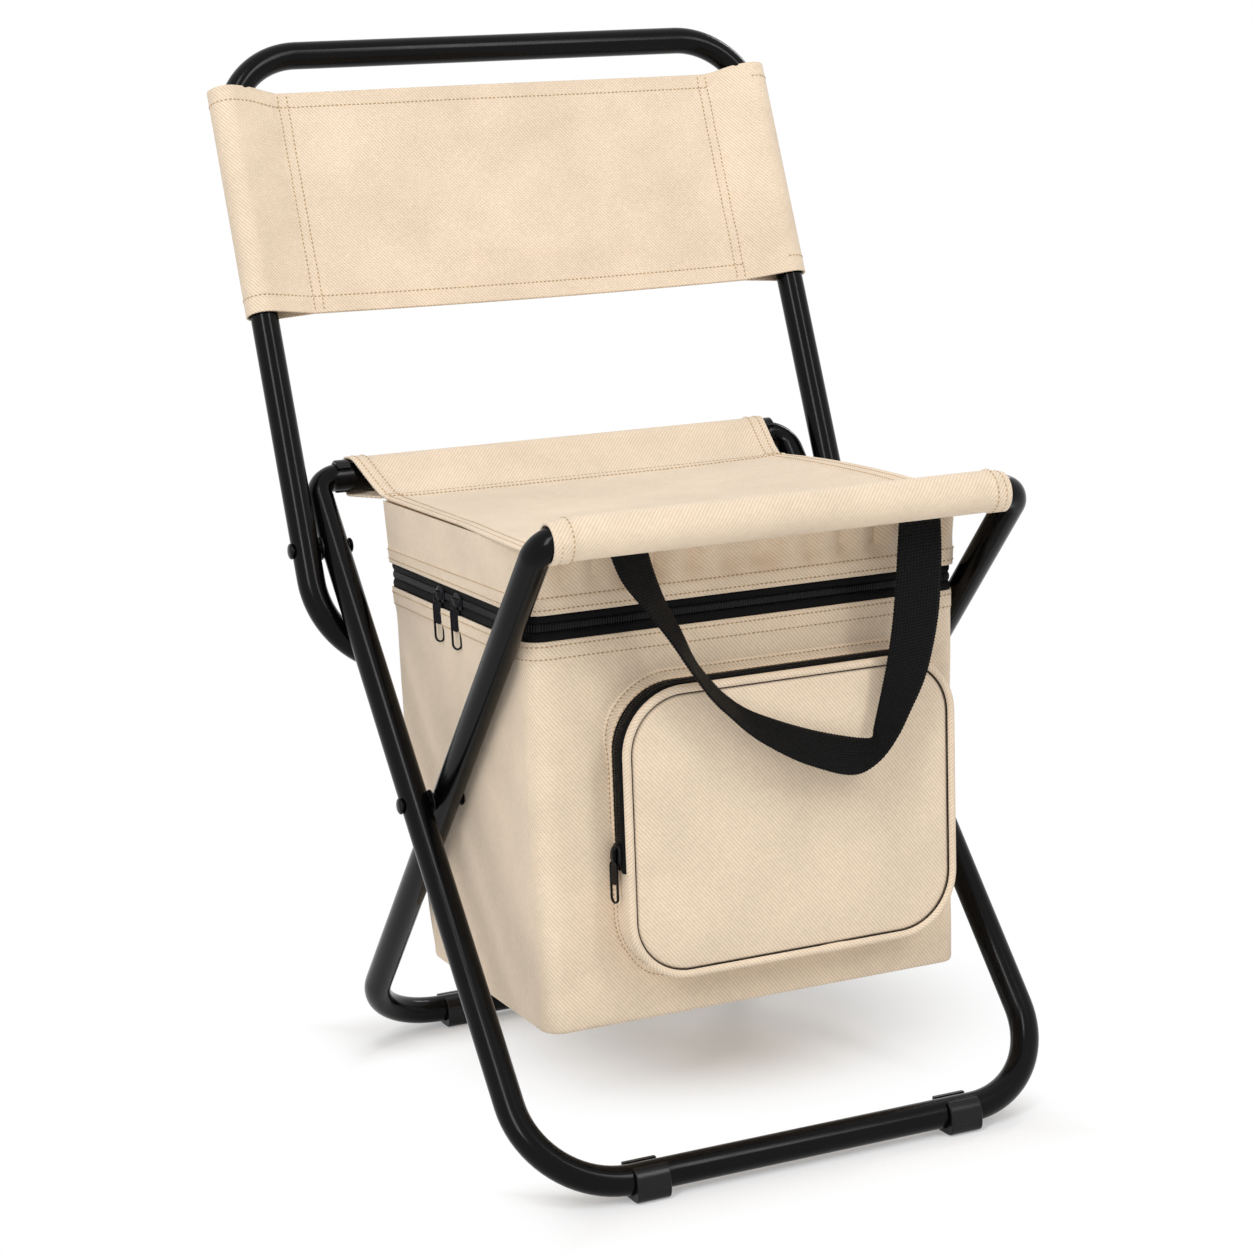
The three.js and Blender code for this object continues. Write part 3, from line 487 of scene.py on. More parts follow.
def blackened_metal(name, colour):
    """Zinc and steel blackened by plating: dark, with a metal's bright broken highlights."""
    finish, tree, shader = new_finish(name)
    at = add_node(tree, "ShaderNodeTexCoord", out="Object")
    wear = add_node(tree, "ShaderNodeTexNoise", {"Vector": at, "Scale": 260.0, "Detail": 4.0})
    tone = add_node(tree, "ShaderNodeValToRGB", {"Fac": wear}, stops=shades(colour, 0.6, 2.2))
    rough = add_node(tree, "ShaderNodeMapRange", {"Value": wear, "To Min": 0.22, "To Max": 0.42})
    plug(tree, shader, {"Base Color": tone, "Roughness": rough, "Metallic": 1.0})
    return finish


def woven_tape(name, colour):
    """Knitted polyester zipper tape: matt black with a fine rib along its length."""
    finish, tree, shader = new_finish(name)
    at = add_node(tree, "ShaderNodeUVMap", uv_map="weave")
    per_stitch = (1 / (1.1 * MM), 1 / (0.9 * MM), 1)
    scaled = add_node(tree, "ShaderNodeMapping", {"Vector": at, "Scale": per_stitch})
    links = {"Vector": scaled, "Scale": BAND, "Distortion": 1.2, "Detail": 1.0}
    knit = add_node(tree, "ShaderNodeTexWave", links, "Fac", wave_type="BANDS", bands_direction="X")
    links = {"Vector": scaled, "Scale": BAND, "Distortion": 0.6}
    ribs = add_node(tree, "ShaderNodeTexWave", links, "Fac", wave_type="BANDS", bands_direction="Y")
    weave = add_node(tree, "ShaderNodeMath", {0: knit, 1: ribs}, operation="MULTIPLY")
    tone = add_node(tree, "ShaderNodeValToRGB", {"Fac": weave}, stops=shades(colour, 0.6, 1.6))
    bump = add_node(tree, "ShaderNodeBump", {"Height": weave, "Strength": 0.6, "Distance": 0.2 * MM})
    plug(tree, shader, {"Base Color": tone, "Normal": bump, "Roughness": 0.7, "Specular IOR Level": 0.12})
    return finish


def coil_nylon(name, colour):
    """Nylon monofilament of the zipper's coil: small bright highlights on each turn."""
    finish, tree, shader = new_finish(name)
    at = add_node(tree, "ShaderNodeTexCoord", out="Object")
    wear = add_node(tree, "ShaderNodeTexNoise", {"Vector": at, "Scale": 500.0, "Detail": 1.0})
    tone = add_node(tree, "ShaderNodeValToRGB", {"Fac": wear}, stops=shades(colour, 0.6, 2.0))
    plug(tree, shader, {"Base Color": tone, "Roughness": 0.35, "IOR": 1.36})
    return finish


def ribbed_webbing(name, colour, width, rib):
    """Black polypropylene webbing: cross ribs over lengthwise cords, a painted highlight on their raised
    crossings, and a low sheen.
    """
    finish, tree, shader = new_finish(name)
    at = add_node(tree, "ShaderNodeUVMap", uv_map="weave")
    scaled = add_node(tree, "ShaderNodeMapping", {"Vector": at, "Scale": (1 / rib, 1 / (width / 15), 1)})
    links = {"Vector": scaled, "Scale": BAND, "Distortion": 0.5, "Detail": 1.0}
    ribs = add_node(tree, "ShaderNodeTexWave", links, "Fac", wave_type="BANDS", bands_direction="X")
    links = {"Vector": scaled, "Scale": BAND, "Distortion": 0.3}
    cords = add_node(tree, "ShaderNodeTexWave", links, "Fac", wave_type="BANDS", bands_direction="Y")
    weave = add_node(tree, "ShaderNodeMath", {0: ribs, 1: cords}, operation="MULTIPLY")
    fuzz = add_node(tree, "ShaderNodeTexNoise", {"Vector": scaled, "Scale": 1.5, "Detail": 3.0})
    # The raised crossings are painted up to forty times lighter than the hollows: a painted highlight on the
    # rib tops.
    tone = add_node(tree, "ShaderNodeValToRGB", {"Fac": weave}, stops=shades(colour, 0.2, 8.0))
    height = add_node(tree, "ShaderNodeMath", {0: weave, 1: fuzz}, operation="ADD")
    bump = add_node(tree, "ShaderNodeBump", {"Height": height, "Strength": 1.0, "Distance": 0.6 * MM})
    plug(tree, shader, {"Base Color": tone, "Normal": bump, "Roughness": 0.5, "Specular IOR Level": 0.1})
    return finish


def silvered_film(name):
    """Aluminised film on foam: a soft metal sheen over fine creases."""
    finish, tree, shader = new_finish(name)
    at = add_node(tree, "ShaderNodeTexCoord", out="Object")
    creases = add_node(tree, "ShaderNodeTexVoronoi", {"Vector": at, "Scale": 90.0})
    stops = (0.0, opaque(linear("#B9BDC2"))), (1.0, opaque(linear("#D4D7DA")))
    tone = add_node(tree, "ShaderNodeValToRGB", {"Fac": creases}, stops=stops)
    bump = add_node(tree, "ShaderNodeBump", {"Height": creases, "Strength": 0.4, "Distance": 0.4 * MM})
    plug(tree, shader, {"Base Color": tone, "Normal": bump, "Metallic": 0.7, "Roughness": 0.34})
    return finish


def make_finishes(sizes, colours):
    FINISHES.update(
        cloth=twill_polyester("twill polyester", colours.cloth, sizes.weave_pitch, 0.18),
        thread=polyester_thread("polyester thread", colours.thread),
        tube=powder_coated_steel("powder coated steel", colours.tube),
        plastic=moulded_nylon("moulded nylon", colours.plastic),
        metal=blackened_metal("blackened metal", colours.metal),
        tape=woven_tape("knitted zipper tape", colours.tape),
        coil=coil_nylon("nylon coil", colours.tape),
        webbing=ribbed_webbing("ribbed webbing", colours.webbing, sizes.webbing_width, sizes.webbing_rib),
        film=silvered_film("aluminised film"),
    )


# Frame tubes


def rounded_loop(loop, bend_steps=20, straight_steps=6, hook=None):
    """A rounded rectangle, anticlockwise from the right end of its bottom run: quarter circles, and straight
    runs between. With a hook its lower bends turn by that angle only, and there is no bottom run. Gives
    points x and height, outward normals, and how sharp the bend is: 1 over its radius in its middle, and 0
    at its ends."""
    half, low, high = loop["half_width"], loop["low"], loop["high"]
    corners = [
        (half - loop["low_bend"], low + loop["low_bend"], loop["low_bend"], -0.5),
        (half - loop["high_bend"], high - loop["high_bend"], loop["high_bend"], 0.0),
        (-half + loop["high_bend"], high - loop["high_bend"], loop["high_bend"], 0.5),
        (-half + loop["low_bend"], low + loop["low_bend"], loop["low_bend"], 1.0),
    ]
    points, normals, bends = [], [], []
    for k, (x, z, bend, start) in enumerate(corners):
        angle = (start + np.linspace(0, 0.5, bend_steps + 1)) * np.pi
        if hook and k == 0:
            angle = np.linspace(-hook, 0, bend_steps + 1)
        if hook and k == 3:
            angle = np.linspace(math.pi, math.pi + hook, bend_steps + 1)
        normal = np.stack([np.cos(angle), np.sin(angle)], -1)
        arc = np.array([x, z]) + bend * normal
        nx, nz, next_bend, next_start = corners[(k + 1) % 4]
        next_normal = np.array([math.cos(next_start * np.pi), math.sin(next_start * np.pi)])
        after = np.array([nx, nz]) + next_bend * next_normal
        share = np.arange(1, straight_steps)[:, None] / straight_steps
        run = arc[-1] + (after - arc[-1]) * share[: 0 if hook and k == 3 else None]
        points += [arc, run]
        normals += [normal, np.broadcast_to(normal[-1], run.shape)]
        sharp = np.sin(np.linspace(0, np.pi, bend_steps + 1)) / bend
        bends += [sharp, np.zeros(len(run))]
    return np.concatenate(points), np.concatenate(normals), np.concatenate(bends)


def frame_tube(loop, hook=None):
    """A round section carried along a rounded loop, slightly flattened where the bend is tight:
    middle + radius (cos a x in-plane normal x (1 - f) + sin a x plane's normal x (1 + f/2)), where f is a
    tenth of the tube's width over the bend's radius, and a tenth at most. A hooked loop's ends are closed by
    plugs with rounded rims."""
    path, normals, bends = rounded_loop(loop, hook=hook)
    flat = np.clip(bends * 2 * TUBE_RADIUS, 0, 1) * 0.1
    middle = loop["pivot"] + path[:, :1] * X_AXIS + path[:, 1:] * loop["up"]
    side = normals[:, :1] * X_AXIS + normals[:, 1:] * loop["up"]
    angle = full_turn(48)
    rings = (
        middle[:, None]
        + TUBE_RADIUS * np.cos(angle)[None, :, None] * ((1 - flat)[:, None] * side)[:, None]
        + TUBE_RADIUS * (np.sin(angle)[None, :] * (1 + flat / 2)[:, None])[..., None] * loop["out"]
    )
    if not hook:
        return outward(tube(rings, closed=True))
    ends = []
    for ring, beside in ((rings[0], rings[1]), (rings[-1], rings[-2])):
        centre = ring.mean(0)
        on = unit(centre - beside.mean(0)) * MM
        rim = [(0.05, 0.94), (0.9, 0.93), (1.4, 0.86), (1.6, 0.7)]
        ends.append(np.stack([centre + on * ahead + (ring - centre) * share for ahead, share in rim]))
    return outward(tube(np.concatenate([ends[0][::-1], rings, ends[1]])))


class STOOL_OT_frames(bpy.types.Operator):
    """Makes the three frames of bent steel tube"""

    bl_idname = "stool.frames"
    bl_label = "Tube frames"

    def execute(self, context):
        for name, loop, hook, body, node in (
            ("outer_tube", OUTER, None, "outer_frame", "outer_leg_frame"),
            ("inner_tube", INNER, None, "inner_frame", "inner_leg_frame"),
            ("back_tube", BACK, BACK_HOOK, "backrest", "back_frame"),
        ):
            piece = make_piece(name, frame_tube(loop, hook), "tube", crease=60)
            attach(piece, body)
            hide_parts(node)
        return {"FINISHED"}


# Snap-on clips


def clip_wall(base, wall, lip, rise, square):
    """Inner and outer lines of a clip's wall, as y and z from the bar's middle. It comes down straight on its
    far side, goes round under the bar, and ends in a lip on the near side. Under the bar its outer face is a
    rounded square, (|cos| / side)^n + (|sin| / base)^n = distance^-n. Above it the lip tapers to half."""
    grip = TUBE_RADIUS + CLEARANCE
    side = grip + wall
    straight = np.linspace(rise, 0, 9)[:-1]
    angle = np.radians(np.linspace(0, -180 - lip, 61))
    cos, sin = np.cos(angle), np.sin(angle)
    reach = ((np.abs(cos) / side) ** square + (np.abs(sin) / base) ** square) ** (-1 / square)
    taper = 1 - 0.5 * np.clip((-np.degrees(angle) - 180) / lip, 0, 1) ** 2
    reach = np.where(sin > 1e-9, grip + wall * taper, reach)
    inner = np.stack([grip * cos, grip * sin], -1)
    outer = np.stack([reach * cos, reach * sin], -1)
    if rise > 0:
        inner = np.concatenate([np.stack([np.full(8, grip), straight], -1), inner])
        outer = np.concatenate([np.stack([np.full(8, side), straight], -1), outer])
    return inner, outer


def clip_on_bar(bar, x, length, turn, wall_lines, edge):
    """A clip's wall carried along its bar: at each place round it the section is a rectangle from the inner
    to the outer face, with its outer edges cut off by edge."""
    inner, outer = wall_lines
    across = np.array([-1, -1, -1, -1, 1, 1, 1, 1]) * length / 2
    inset = np.array([0, 0, 0, edge, -edge, 0, 0, 0])
    depth = np.array([0, 0.5, 1, 1, 1, 1, 0.5, 0])[:, None]
    drop = np.array([0, 0, -edge, 0, 0, -edge, 0, 0])[:, None]
    through = outer - inner
    place = inner[:, None] + through[:, None] * depth + unit(through)[:, None] * drop
    local_y, local_z = place[..., 0], place[..., 1]
    cos_turn, sin_turn = math.cos(turn), math.sin(turn)
    rings = np.stack(
        [
            np.broadcast_to(x + across + inset, local_y.shape),
            bar[1] + local_y * cos_turn - local_z * sin_turn,
            bar[2] + local_y * sin_turn + local_z * cos_turn,
        ],
        -1,
    )
    return outward(tube(rings))


class STOOL_OT_clips(bpy.types.Operator):
    """Makes the snap-on feet, and the clips on the rear seat bar"""

    bl_idname = "stool.clips"
    bl_label = "Feet and clips"

    def execute(self, context):
        front_bar = along(OUTER, OUTER["low"])
        rear_bar = along(INNER, INNER["low"])
        turn = math.pi - OUTER_LEAN
        foot = clip_wall(BAR_HEIGHT, 2.4 * MM, 55, 6.2 * MM, 4.5)
        collar = clip_wall(9.5 * MM, 1.0 * MM, 60, 0, 2.6)
        for node, bar, x, length, angle, body, wall_lines in (
            ("front_foot_left", front_bar, -92 * MM, 19 * MM, 0, "outer_frame", foot),
            ("front_foot_right", front_bar, 92 * MM, 19 * MM, 0, "outer_frame", foot),
            ("rear_foot_left", rear_bar, -73 * MM, 19 * MM, 0, "inner_frame", foot),
            ("rear_foot_right", rear_bar, 73 * MM, 19 * MM, 0, "inner_frame", foot),
            ("rear_bar_clip_left", REAR_BAR, -135.4 * MM, 8.4 * MM, turn, "outer_frame", collar),
            ("rear_bar_clip_right", REAR_BAR, 139.4 * MM, 7.4 * MM, turn, "outer_frame", collar),
        ):
            part = clip_on_bar(bar, x, length, angle, wall_lines, 0.5 * MM)
            piece = make_piece("moulded_" + node, part, "plastic", crease=35)
            bevel = piece.modifiers.new("Soft edges", "BEVEL")
            bevel.width = 0.35 * MM
            bevel.segments = 2
            bevel.limit_method = "ANGLE"
            bevel.angle_limit = math.radians(35)
            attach(piece, body)
            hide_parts(node)
        return {"FINISHED"}


# Rivets and washers


WASHER = ((3.3, 0.0), (6.5, 0.0), (6.7, 0.2), (6.7, 0.8), (6.5, 1.0), (3.3, 1.0))  # radius and depth in mm


def turned_part(profile, pivot, side):
    """Rings of a profile of radius and distance from the middle plane, turned about the pivot's axis."""
    profile = np.array(profile)
    angle = full_turn(32)
    return np.stack(
        [
            np.broadcast_to(side * profile[:, 1:], (len(profile), len(angle))),
            pivot[1] + profile[:, :1] * np.cos(angle),
            pivot[2] + profile[:, :1] * np.sin(angle),
        ],
        -1,
    )


def rivet_profile(inner_face, outer_face):
    """A domed head, a straight shank and a rolled tail round a small hollow."""
    head = outer_face + CLEARANCE
    tail = inner_face - CLEARANCE
    dome = np.linspace(0, np.pi / 2, 9)[::-1]
    domed = [(4.5 * MM * math.sin(a), head + 0.6 * MM + 1.5 * MM * math.cos(a)) for a in dome]
    rolled = np.linspace(0, np.pi, 9)
    rim = [((3.1 + 1.3 * math.cos(a)) * MM, tail - (0.3 + 1.3 * math.sin(a)) * MM) for a in rolled]
    below = [(3 * MM, tail), (4.0 * MM, tail), *rim, (1.6 * MM, tail), (0.4 * MM, tail)]
    above = [(3 * MM, head), (4.3 * MM, head), (4.5 * MM, head + 0.2 * MM), *domed[:-1]]
    return [*below[::-1], *above, (0.4 * MM, head + 2.1 * MM)]


class STOOL_OT_pivots(bpy.types.Operator):
    """Makes the rivets and the spacer washers of both pivots"""

    bl_idname = "stool.pivots"
    bl_label = "Rivets and washers"

    def execute(self, context):
        widths = {"leg_pivot": (INNER, OUTER, LEG_PIVOT), "back_pivot": (OUTER, BACK, BACK_PIVOT)}
        for name, (inner, outer, pivot) in widths.items():
            near, far = inner["half_width"], outer["half_width"]
            for word, side in (("left", -1), ("right", 1)):
                rings = turned_part(rivet_profile(near - TUBE_RADIUS, far + TUBE_RADIUS), pivot, side)
                rivet = make_piece(f"domed_{name}_rivet_{word}", outward(tube(rings)), "metal")
                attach(rivet, "outer_frame")
                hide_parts(f"{name}_rivet_{word}")
                face = near + TUBE_RADIUS + CLEARANCE
                rings = turned_part([(r * MM, face + d * MM) for r, d in WASHER], pivot, side)
                part = outward(tube(rings, closed=True))
                washer = make_piece(f"moulded_{name}_washer_{word}", part, "plastic")
                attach(washer, "outer_frame")
                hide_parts(f"{name}_washer_{word}")
        return {"FINISHED"}


# Seat sling


def teardrop(bar, seam, start_below):
    """Y and Z of the cloth round a bar, from the seam to the seam: two straight runs that touch a circle, and
    the arc between them. It leaves the seam under the bar if start_below, and over it otherwise."""
    to_seam = seam[1:] - bar[1:]
    distance = np.linalg.norm(to_seam)
    middle = math.atan2(to_seam[1], to_seam[0])
    opening = math.acos(SLEEVE_RADIUS / distance)
    ahead = to_seam[0] < 0
    sign = 1 if ahead == start_below else -1
    angles = np.linspace(middle + sign * opening, middle + sign * (2 * math.pi - opening), 30)
    arc = bar[1:] + SLEEVE_RADIUS * np.stack([np.cos(angles), np.sin(angles)], -1)
    lead = np.linspace(0, 1, 5)[:-1, None]
    lead_in = seam[1:] + (arc[0] - seam[1:]) * lead
    return np.concatenate([lead_in, arc, arc[-1] + (seam[1:] - arc[-1]) * lead[1:]])


def seat_share(y):
    """0 at the seat's front seam and 1 at its rear seam."""
    return (y - SEAT_FRONT[1]) / (SEAT_SEAM[1] - SEAT_FRONT[1])


def seat_edges(y):
    """X of the seat's left and right edges. The cloth is widest where it is sewn round the bars."""
    share = seat_share(y)
    left = np.interp(share, [0, 0.25, 0.5, 1.0, 1.11], [-130.5, -127, -123, -122.5, -132])
    right = np.interp(share, [0, 0.3, 0.7, 1.0, 1.11], [125, 128, 131, 134, 136.5])
    return left * MM, right * MM


def seat_level(y):
    """Height of the straight line between the seat's seams."""
    return SEAT_FRONT[2] + (SEAT_SEAM[2] - SEAT_FRONT[2]) * np.clip(seat_share(y), 0, 1)


def seat_height(x, y):
    """Height of the seat's top between its seams: a straight line, less a sag that is a power of a sine
    across it and a parabola along it, plus the lift of its right edge, which is that parabola too."""
    share = np.clip(seat_share(y), 0, 1)
    bow = 4 * share * (1 - share)
    left, right = seat_edges(y)
    place = np.clip((x - left) / (right - left), 0, 1)
    sag = SEAT_SAG * np.sin(place * np.pi) ** 0.7
    lift = SEAT_LIFT * smooth_step(place, 0.7, 1)
    return seat_level(y) + bow * (lift - sag)


def seat_line():
    """The cloth's outer line, and which part of it each point is in: 0 round the rear bar, 1 along the seat
    to the front, and 2 round the front bar."""
    rear = teardrop(REAR_BAR, SEAT_SEAM, start_below=True)
    front = teardrop(FRONT_BAR, SEAT_FRONT, start_below=False)
    hem_end = SEAT_SEAM[1] - SEAT_HEM
    sleeve = np.linspace(SEAT_SEAM[1] - 2 * MM, hem_end + 0.4 * MM, 4)
    y = np.concatenate([sleeve, np.linspace(hem_end, SEAT_FRONT[1], 46)[:-1]])
    span = np.stack([y, seat_level(y)], -1)
    return np.concatenate([rear, span, front]), np.repeat([0, 1, 2], [len(rear), len(span), len(front)])


def profile_normals(line):
    """Outward normals of the seat's line: its direction turned a quarter."""
    tangent = unit(np.gradient(line, axis=0))
    return np.stack([tangent[:, 1], -tangent[:, 0]], -1)


def seat_surface(across, offset, line, part):
    """The seat's line carried across. Each column lies at a share of the width and an offset from there. The
    sleeve's layers and the side hems stand over the seat's single layer. The front sleeve's ends follow the
    tube's bends down."""
    left, right = seat_edges(line[:, 0])
    x = left[:, None] * (1 - across) + right[:, None] * across + offset
    y = np.broadcast_to(line[:, :1], x.shape)
    lower = seat_height(x, y) - seat_level(y)
    waves = np.sin(x / (31 * MM) + y / (47 * MM)) * np.sin(y / (36 * MM) - x / (90 * MM))
    z = line[:, 1:] + (lower + 0.35 * MM * waves * (4 * MM < -lower)) * (part == 1)[:, None]
    points = np.stack([x, y, z], -1)
    normal = profile_normals(line)
    hem_end = SEAT_SEAM[1] - SEAT_HEM
    doubled = smooth_step(line[:, 0], hem_end - 0.1 * MM, hem_end + 0.5 * MM)
    sleeve = np.where(part == 1, doubled, 1.0)
    from_edge = np.minimum(x - left[:, None], right[:, None] - x)
    hem = smooth_step(-from_edge, -SEAT_HEM - 0.5 * MM, -SEAT_HEM + 0.1 * MM)
    stand = 0.55 * MM * sleeve[:, None] + 0.7 * MM * hem
    # The front sleeve's mouths draw in on the tube.
    stand = stand - 1.1 * MM * smooth_step(-from_edge, -14 * MM, -1 * MM) * (part == 2)[:, None]
    points[..., 1:] += stand[..., None] * normal[:, None]
    follow = smooth_step(np.abs(x), 114 * MM, 131 * MM) * 2.4 * MM * (part == 2)[:, None]
    return points - follow[..., None] * INNER["up"]


def blend_seat(piece):
    """Bakes the piece's placement into its mesh."""
    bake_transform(piece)


class STOOL_OT_seat(bpy.types.Operator):
    """Makes the seat cloth, sewn round the rear and front bars, and its stitching"""

    bl_idname = "stool.seat"
    bl_label = "Seat sling"

    def execute(self, context):
        sizes = context.scene.stool_sizes
        line, part = seat_line()
        edge = np.array([0, 0.25, SEAT_HEM / MM - 0.2, SEAT_HEM / MM + 0.6]) * MM
        middle = np.linspace(0.06, 0.94, 44)
        across = np.concatenate([np.zeros(4), middle, np.ones(4)])
        offset = np.concatenate([edge, np.zeros(44), -edge[::-1]])
        points = seat_surface(across, offset, line, part)
        lengths = arc_lengths(np.pad(line, ((0, 0), (1, 0))))
        uv = np.stack([points[..., 0], np.broadcast_to(lengths[:, None], points.shape[:2])], -1)
        cloth = make_piece("seat_cloth", grid(points, uv), "cloth", crease=50, thickness=CLOTH)
        rows = []
        pitch = sizes.stitch_pitch
        lift = np.pad(profile_normals(line), ((0, 0), (1, 0)))
        seen = slice(18, len(line) - 4)
        for side, inward in ((0.0, 1), (1.0, -1)):
            for from_edge in (0.36 * SEAT_HEM, 0.9 * SEAT_HEM):
                path = seat_surface(np.array([side]), np.array([inward * from_edge]), line, part)[seen, 0]
                rows.append(stitch_row(path, lift[seen], pitch))
        span = np.linspace(0.006, 0.994, 90)
        up = np.broadcast_to(UP, (90, 3))
        for ahead in (1.5 * MM, 9.2 * MM):
            nearest = np.argmin(np.abs(line[:, 0] - SEAT_SEAM[1] + ahead) + (part != 1))
            row = seat_surface(span, np.zeros(90), line, part)[nearest]
            rows.append(stitch_row(row, up, pitch))
        sewing = make_piece("seat_stitching", joined(rows), "thread", crease=80)
        for piece in (cloth, sewing):
            blend_seat(piece)
        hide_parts("seat_panel", "seat_front_sleeve")
        return {"FINISHED"}


# Backrest sling


BACKREST_LOW = 137.5 * MM
BACKREST_HIGH = 276.5 * MM
BACKREST_SEAM = 139 * MM
BACKREST_HEMS = (0.072, 0.935)  # where they are sewn, as shares of the height
BACKREST_LAYER = 1.3 * MM  # from the middle of the two layers to the outside of each
SLEEVE_ARC = 34  # points round each tube
SLEEVE_RUN = 8  # points from there to the seam


def backrest_section():
    """X and depth of the doubled cloth: the layers lie together between the seams, and run straight from each
    seam to an arc round its tube. It starts with the right arc, and its second half is the first turned half
    round."""
    half = BACK["half_width"]
    run, rise = half - BACKREST_SEAM, BACKREST_LAYER
    opening = math.pi - math.atan2(rise, run) - math.acos(SLEEVE_RADIUS / math.hypot(run, rise))
    angle = np.linspace(-opening, opening, SLEEVE_ARC)
    arc = np.array([half, 0]) + SLEEVE_RADIUS * np.stack([np.cos(angle), np.sin(angle)], -1)
    seam = np.array([BACKREST_SEAM, BACKREST_LAYER])
    lead = np.linspace(0, 1, SLEEVE_RUN + 1)[1:, None]
    lead_in = arc[-1] + (seam - arc[-1]) * lead
    flat = np.linspace(BACKREST_SEAM, -BACKREST_SEAM, 60)[1:]
    rear = np.stack([flat, np.full(len(flat), BACKREST_LAYER)], -1)
    left_seam = seam * [-1, 1]
    lead_out = left_seam + (-arc[0] - left_seam) * lead[:-1]
    right = np.concatenate([arc, lead_in, rear, lead_out])
    return np.concatenate([right, -right])


def backrest_height(x, share):
    """Height along the back frame. At the top the sleeves stand a little over the middle, and the lower edge
    rises with the square of the distance from it."""
    rise = smooth_step(np.abs(x), BACKREST_SEAM - 2 * MM, 162 * MM)
    bow = (np.abs(x) / (180 * MM)) ** 2
    top = BACKREST_HIGH - 3.4 * MM + 3.4 * MM * rise
    low = BACKREST_LOW + 2 * MM * bow
    return low + (top - low) * share


def back_point(x, depth, height):
    across = BACK["pivot"] + x[..., None] * X_AXIS
    return across - depth[..., None] * BACK["out"] + height[..., None] * BACK["up"]


def backrest_waves(x, height):
    """How far the cloth stands back from flat: long folds across it, and short puckers along the seams."""
    area = ((-130 * MM, 130 * MM), (BACKREST_LOW, BACKREST_HIGH))
    folds = soft_folds(x, height, 3, area, 26, 1.1 * MM, (math.pi / 2, 0.16), 9 * MM, 75 * MM)
    seam = np.exp(-(((np.abs(x) - BACKREST_SEAM) / (13 * MM)) ** 2))
    pucker = np.sin(height / (3.1 * MM) + 2.2 * np.sin(height / (11 * MM))) * 0.28 * MM * seam
    inside = np.clip(1 - (np.abs(x) / BACKREST_SEAM) ** 4, 0, 1)
    across = (height - BACKREST_LOW) / (BACKREST_HIGH - BACKREST_LOW)
    belly = 2.0 * MM * inside * np.sin(np.clip(across, 0, 1) * np.pi)
    return folds * inside + pucker + belly


class STOOL_OT_backrest(bpy.types.Operator):
    """Makes the backrest cloth with its two sleeves, and its stitching"""

    bl_idname = "stool.backrest"
    bl_label = "Backrest sling"

    def execute(self, context):
        sizes = context.scene.stool_sizes
        section = backrest_section()
        share = np.concatenate([[0, 0.004], np.linspace(0.015, 0.985, 84), [0.996, 1]])
        x, depth = section[:, 0], section[:, 1]
        height = backrest_height(x[None], share[:, None])
        between = np.abs(x)[None] < 160 * MM
        wave = backrest_waves(np.broadcast_to(x, height.shape), height) * between
        points = back_point(np.broadcast_to(x, height.shape), depth[None] + wave, height)
        around = arc_lengths(looped(section))
        uv_height = looped(height, 1)
        uv = np.stack([np.broadcast_to(around, uv_height.shape), uv_height], -1)
        part = turned(grid(points, uv, wrap_v=True))
        cloth = make_piece("backrest_cloth", part, "cloth", crease=50, thickness=CLOTH)
        rows = []
        pitch = sizes.stitch_pitch
        for face in (-1, 1):
            normal = -face * BACK["out"]

            def on_face(x_line, share_line, face=face):
                height_line = backrest_height(x_line, share_line)
                wave_line = backrest_waves(x_line, height_line)
                return back_point(x_line, face * BACKREST_LAYER + wave_line, height_line)

            for side in (-1, 1):
                for offset in (133.5 * MM, BACKREST_SEAM):
                    s = np.linspace(0.01, 0.99, 90)
                    path = on_face(np.full(90, side * offset), s)
                    rows.append(stitch_row(path, np.broadcast_to(normal, path.shape), pitch))
            for s in BACKREST_HEMS:
                line = np.linspace(-BACKREST_SEAM, BACKREST_SEAM, 120)
                path = on_face(line, np.full(120, s))
                rows.append(stitch_row(path, np.broadcast_to(normal, path.shape), pitch))
        # The hems go on round the sleeves.
        right_sleeve = section[: SLEEVE_ARC + SLEEVE_RUN]
        for s in BACKREST_HEMS:
            for sleeve in (right_sleeve, -right_sleeve):
                heights = backrest_height(sleeve[:, 0], np.full(len(sleeve), s))
                path = back_point(sleeve[:, 0], sleeve[:, 1], heights)
                tube_x = np.sign(sleeve[:, 0]) * BACK["half_width"]
                middle = back_point(tube_x, np.zeros(len(sleeve)), heights)
                rows.append(stitch_row(path, unit(path - middle), pitch))
        sewing = make_piece("backrest_stitching", joined(rows), "thread", crease=80)
        for piece in (cloth, sewing):
            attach(piece, "backrest")
        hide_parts("backrest_sling")
        return {"FINISHED"}


# Cooler bag


def bag_fronts(z):
    """Y of the bag's front at a height."""
    levels = [BAG_BOTTOM + 4 * MM, ZIP_LOW, SEAT_FRONT[2]]
    return CENTRE_Y + np.interp(z, levels, [-102 * MM, -110.5 * MM, -119.5 * MM])


def bag_rears(z):
    """Y of the bag's rear at a height."""
    low_levels = BAG_BOTTOM + np.array([4, 133, 173]) * MM
    levels = [*low_levels, ZIP_LOW, ZIP_HIGH, SEAT_SEAM[2]]
    return CENTRE_Y + np.interp(z, levels, np.array([76, 92, 92.5, 96.5, 98.5, 104.5]) * MM)


def bag_halves(z):
    """Half of the bag's width at its front and at its rear."""
    levels = [BAG_BOTTOM, BAG_BOTTOM + 90 * MM, BAG_BOTTOM + 130 * MM, ZIP_LOW]
    front = np.interp(z, levels, np.array([122.5, 124.0, 124.7, 125.2]) * MM)
    rear = np.interp(z, levels, np.array([121.5, 123.8, 125.0, 125.2]) * MM)
    return front, rear


ZIP_RISE = 5 * MM  # of the zipper's rear over its front


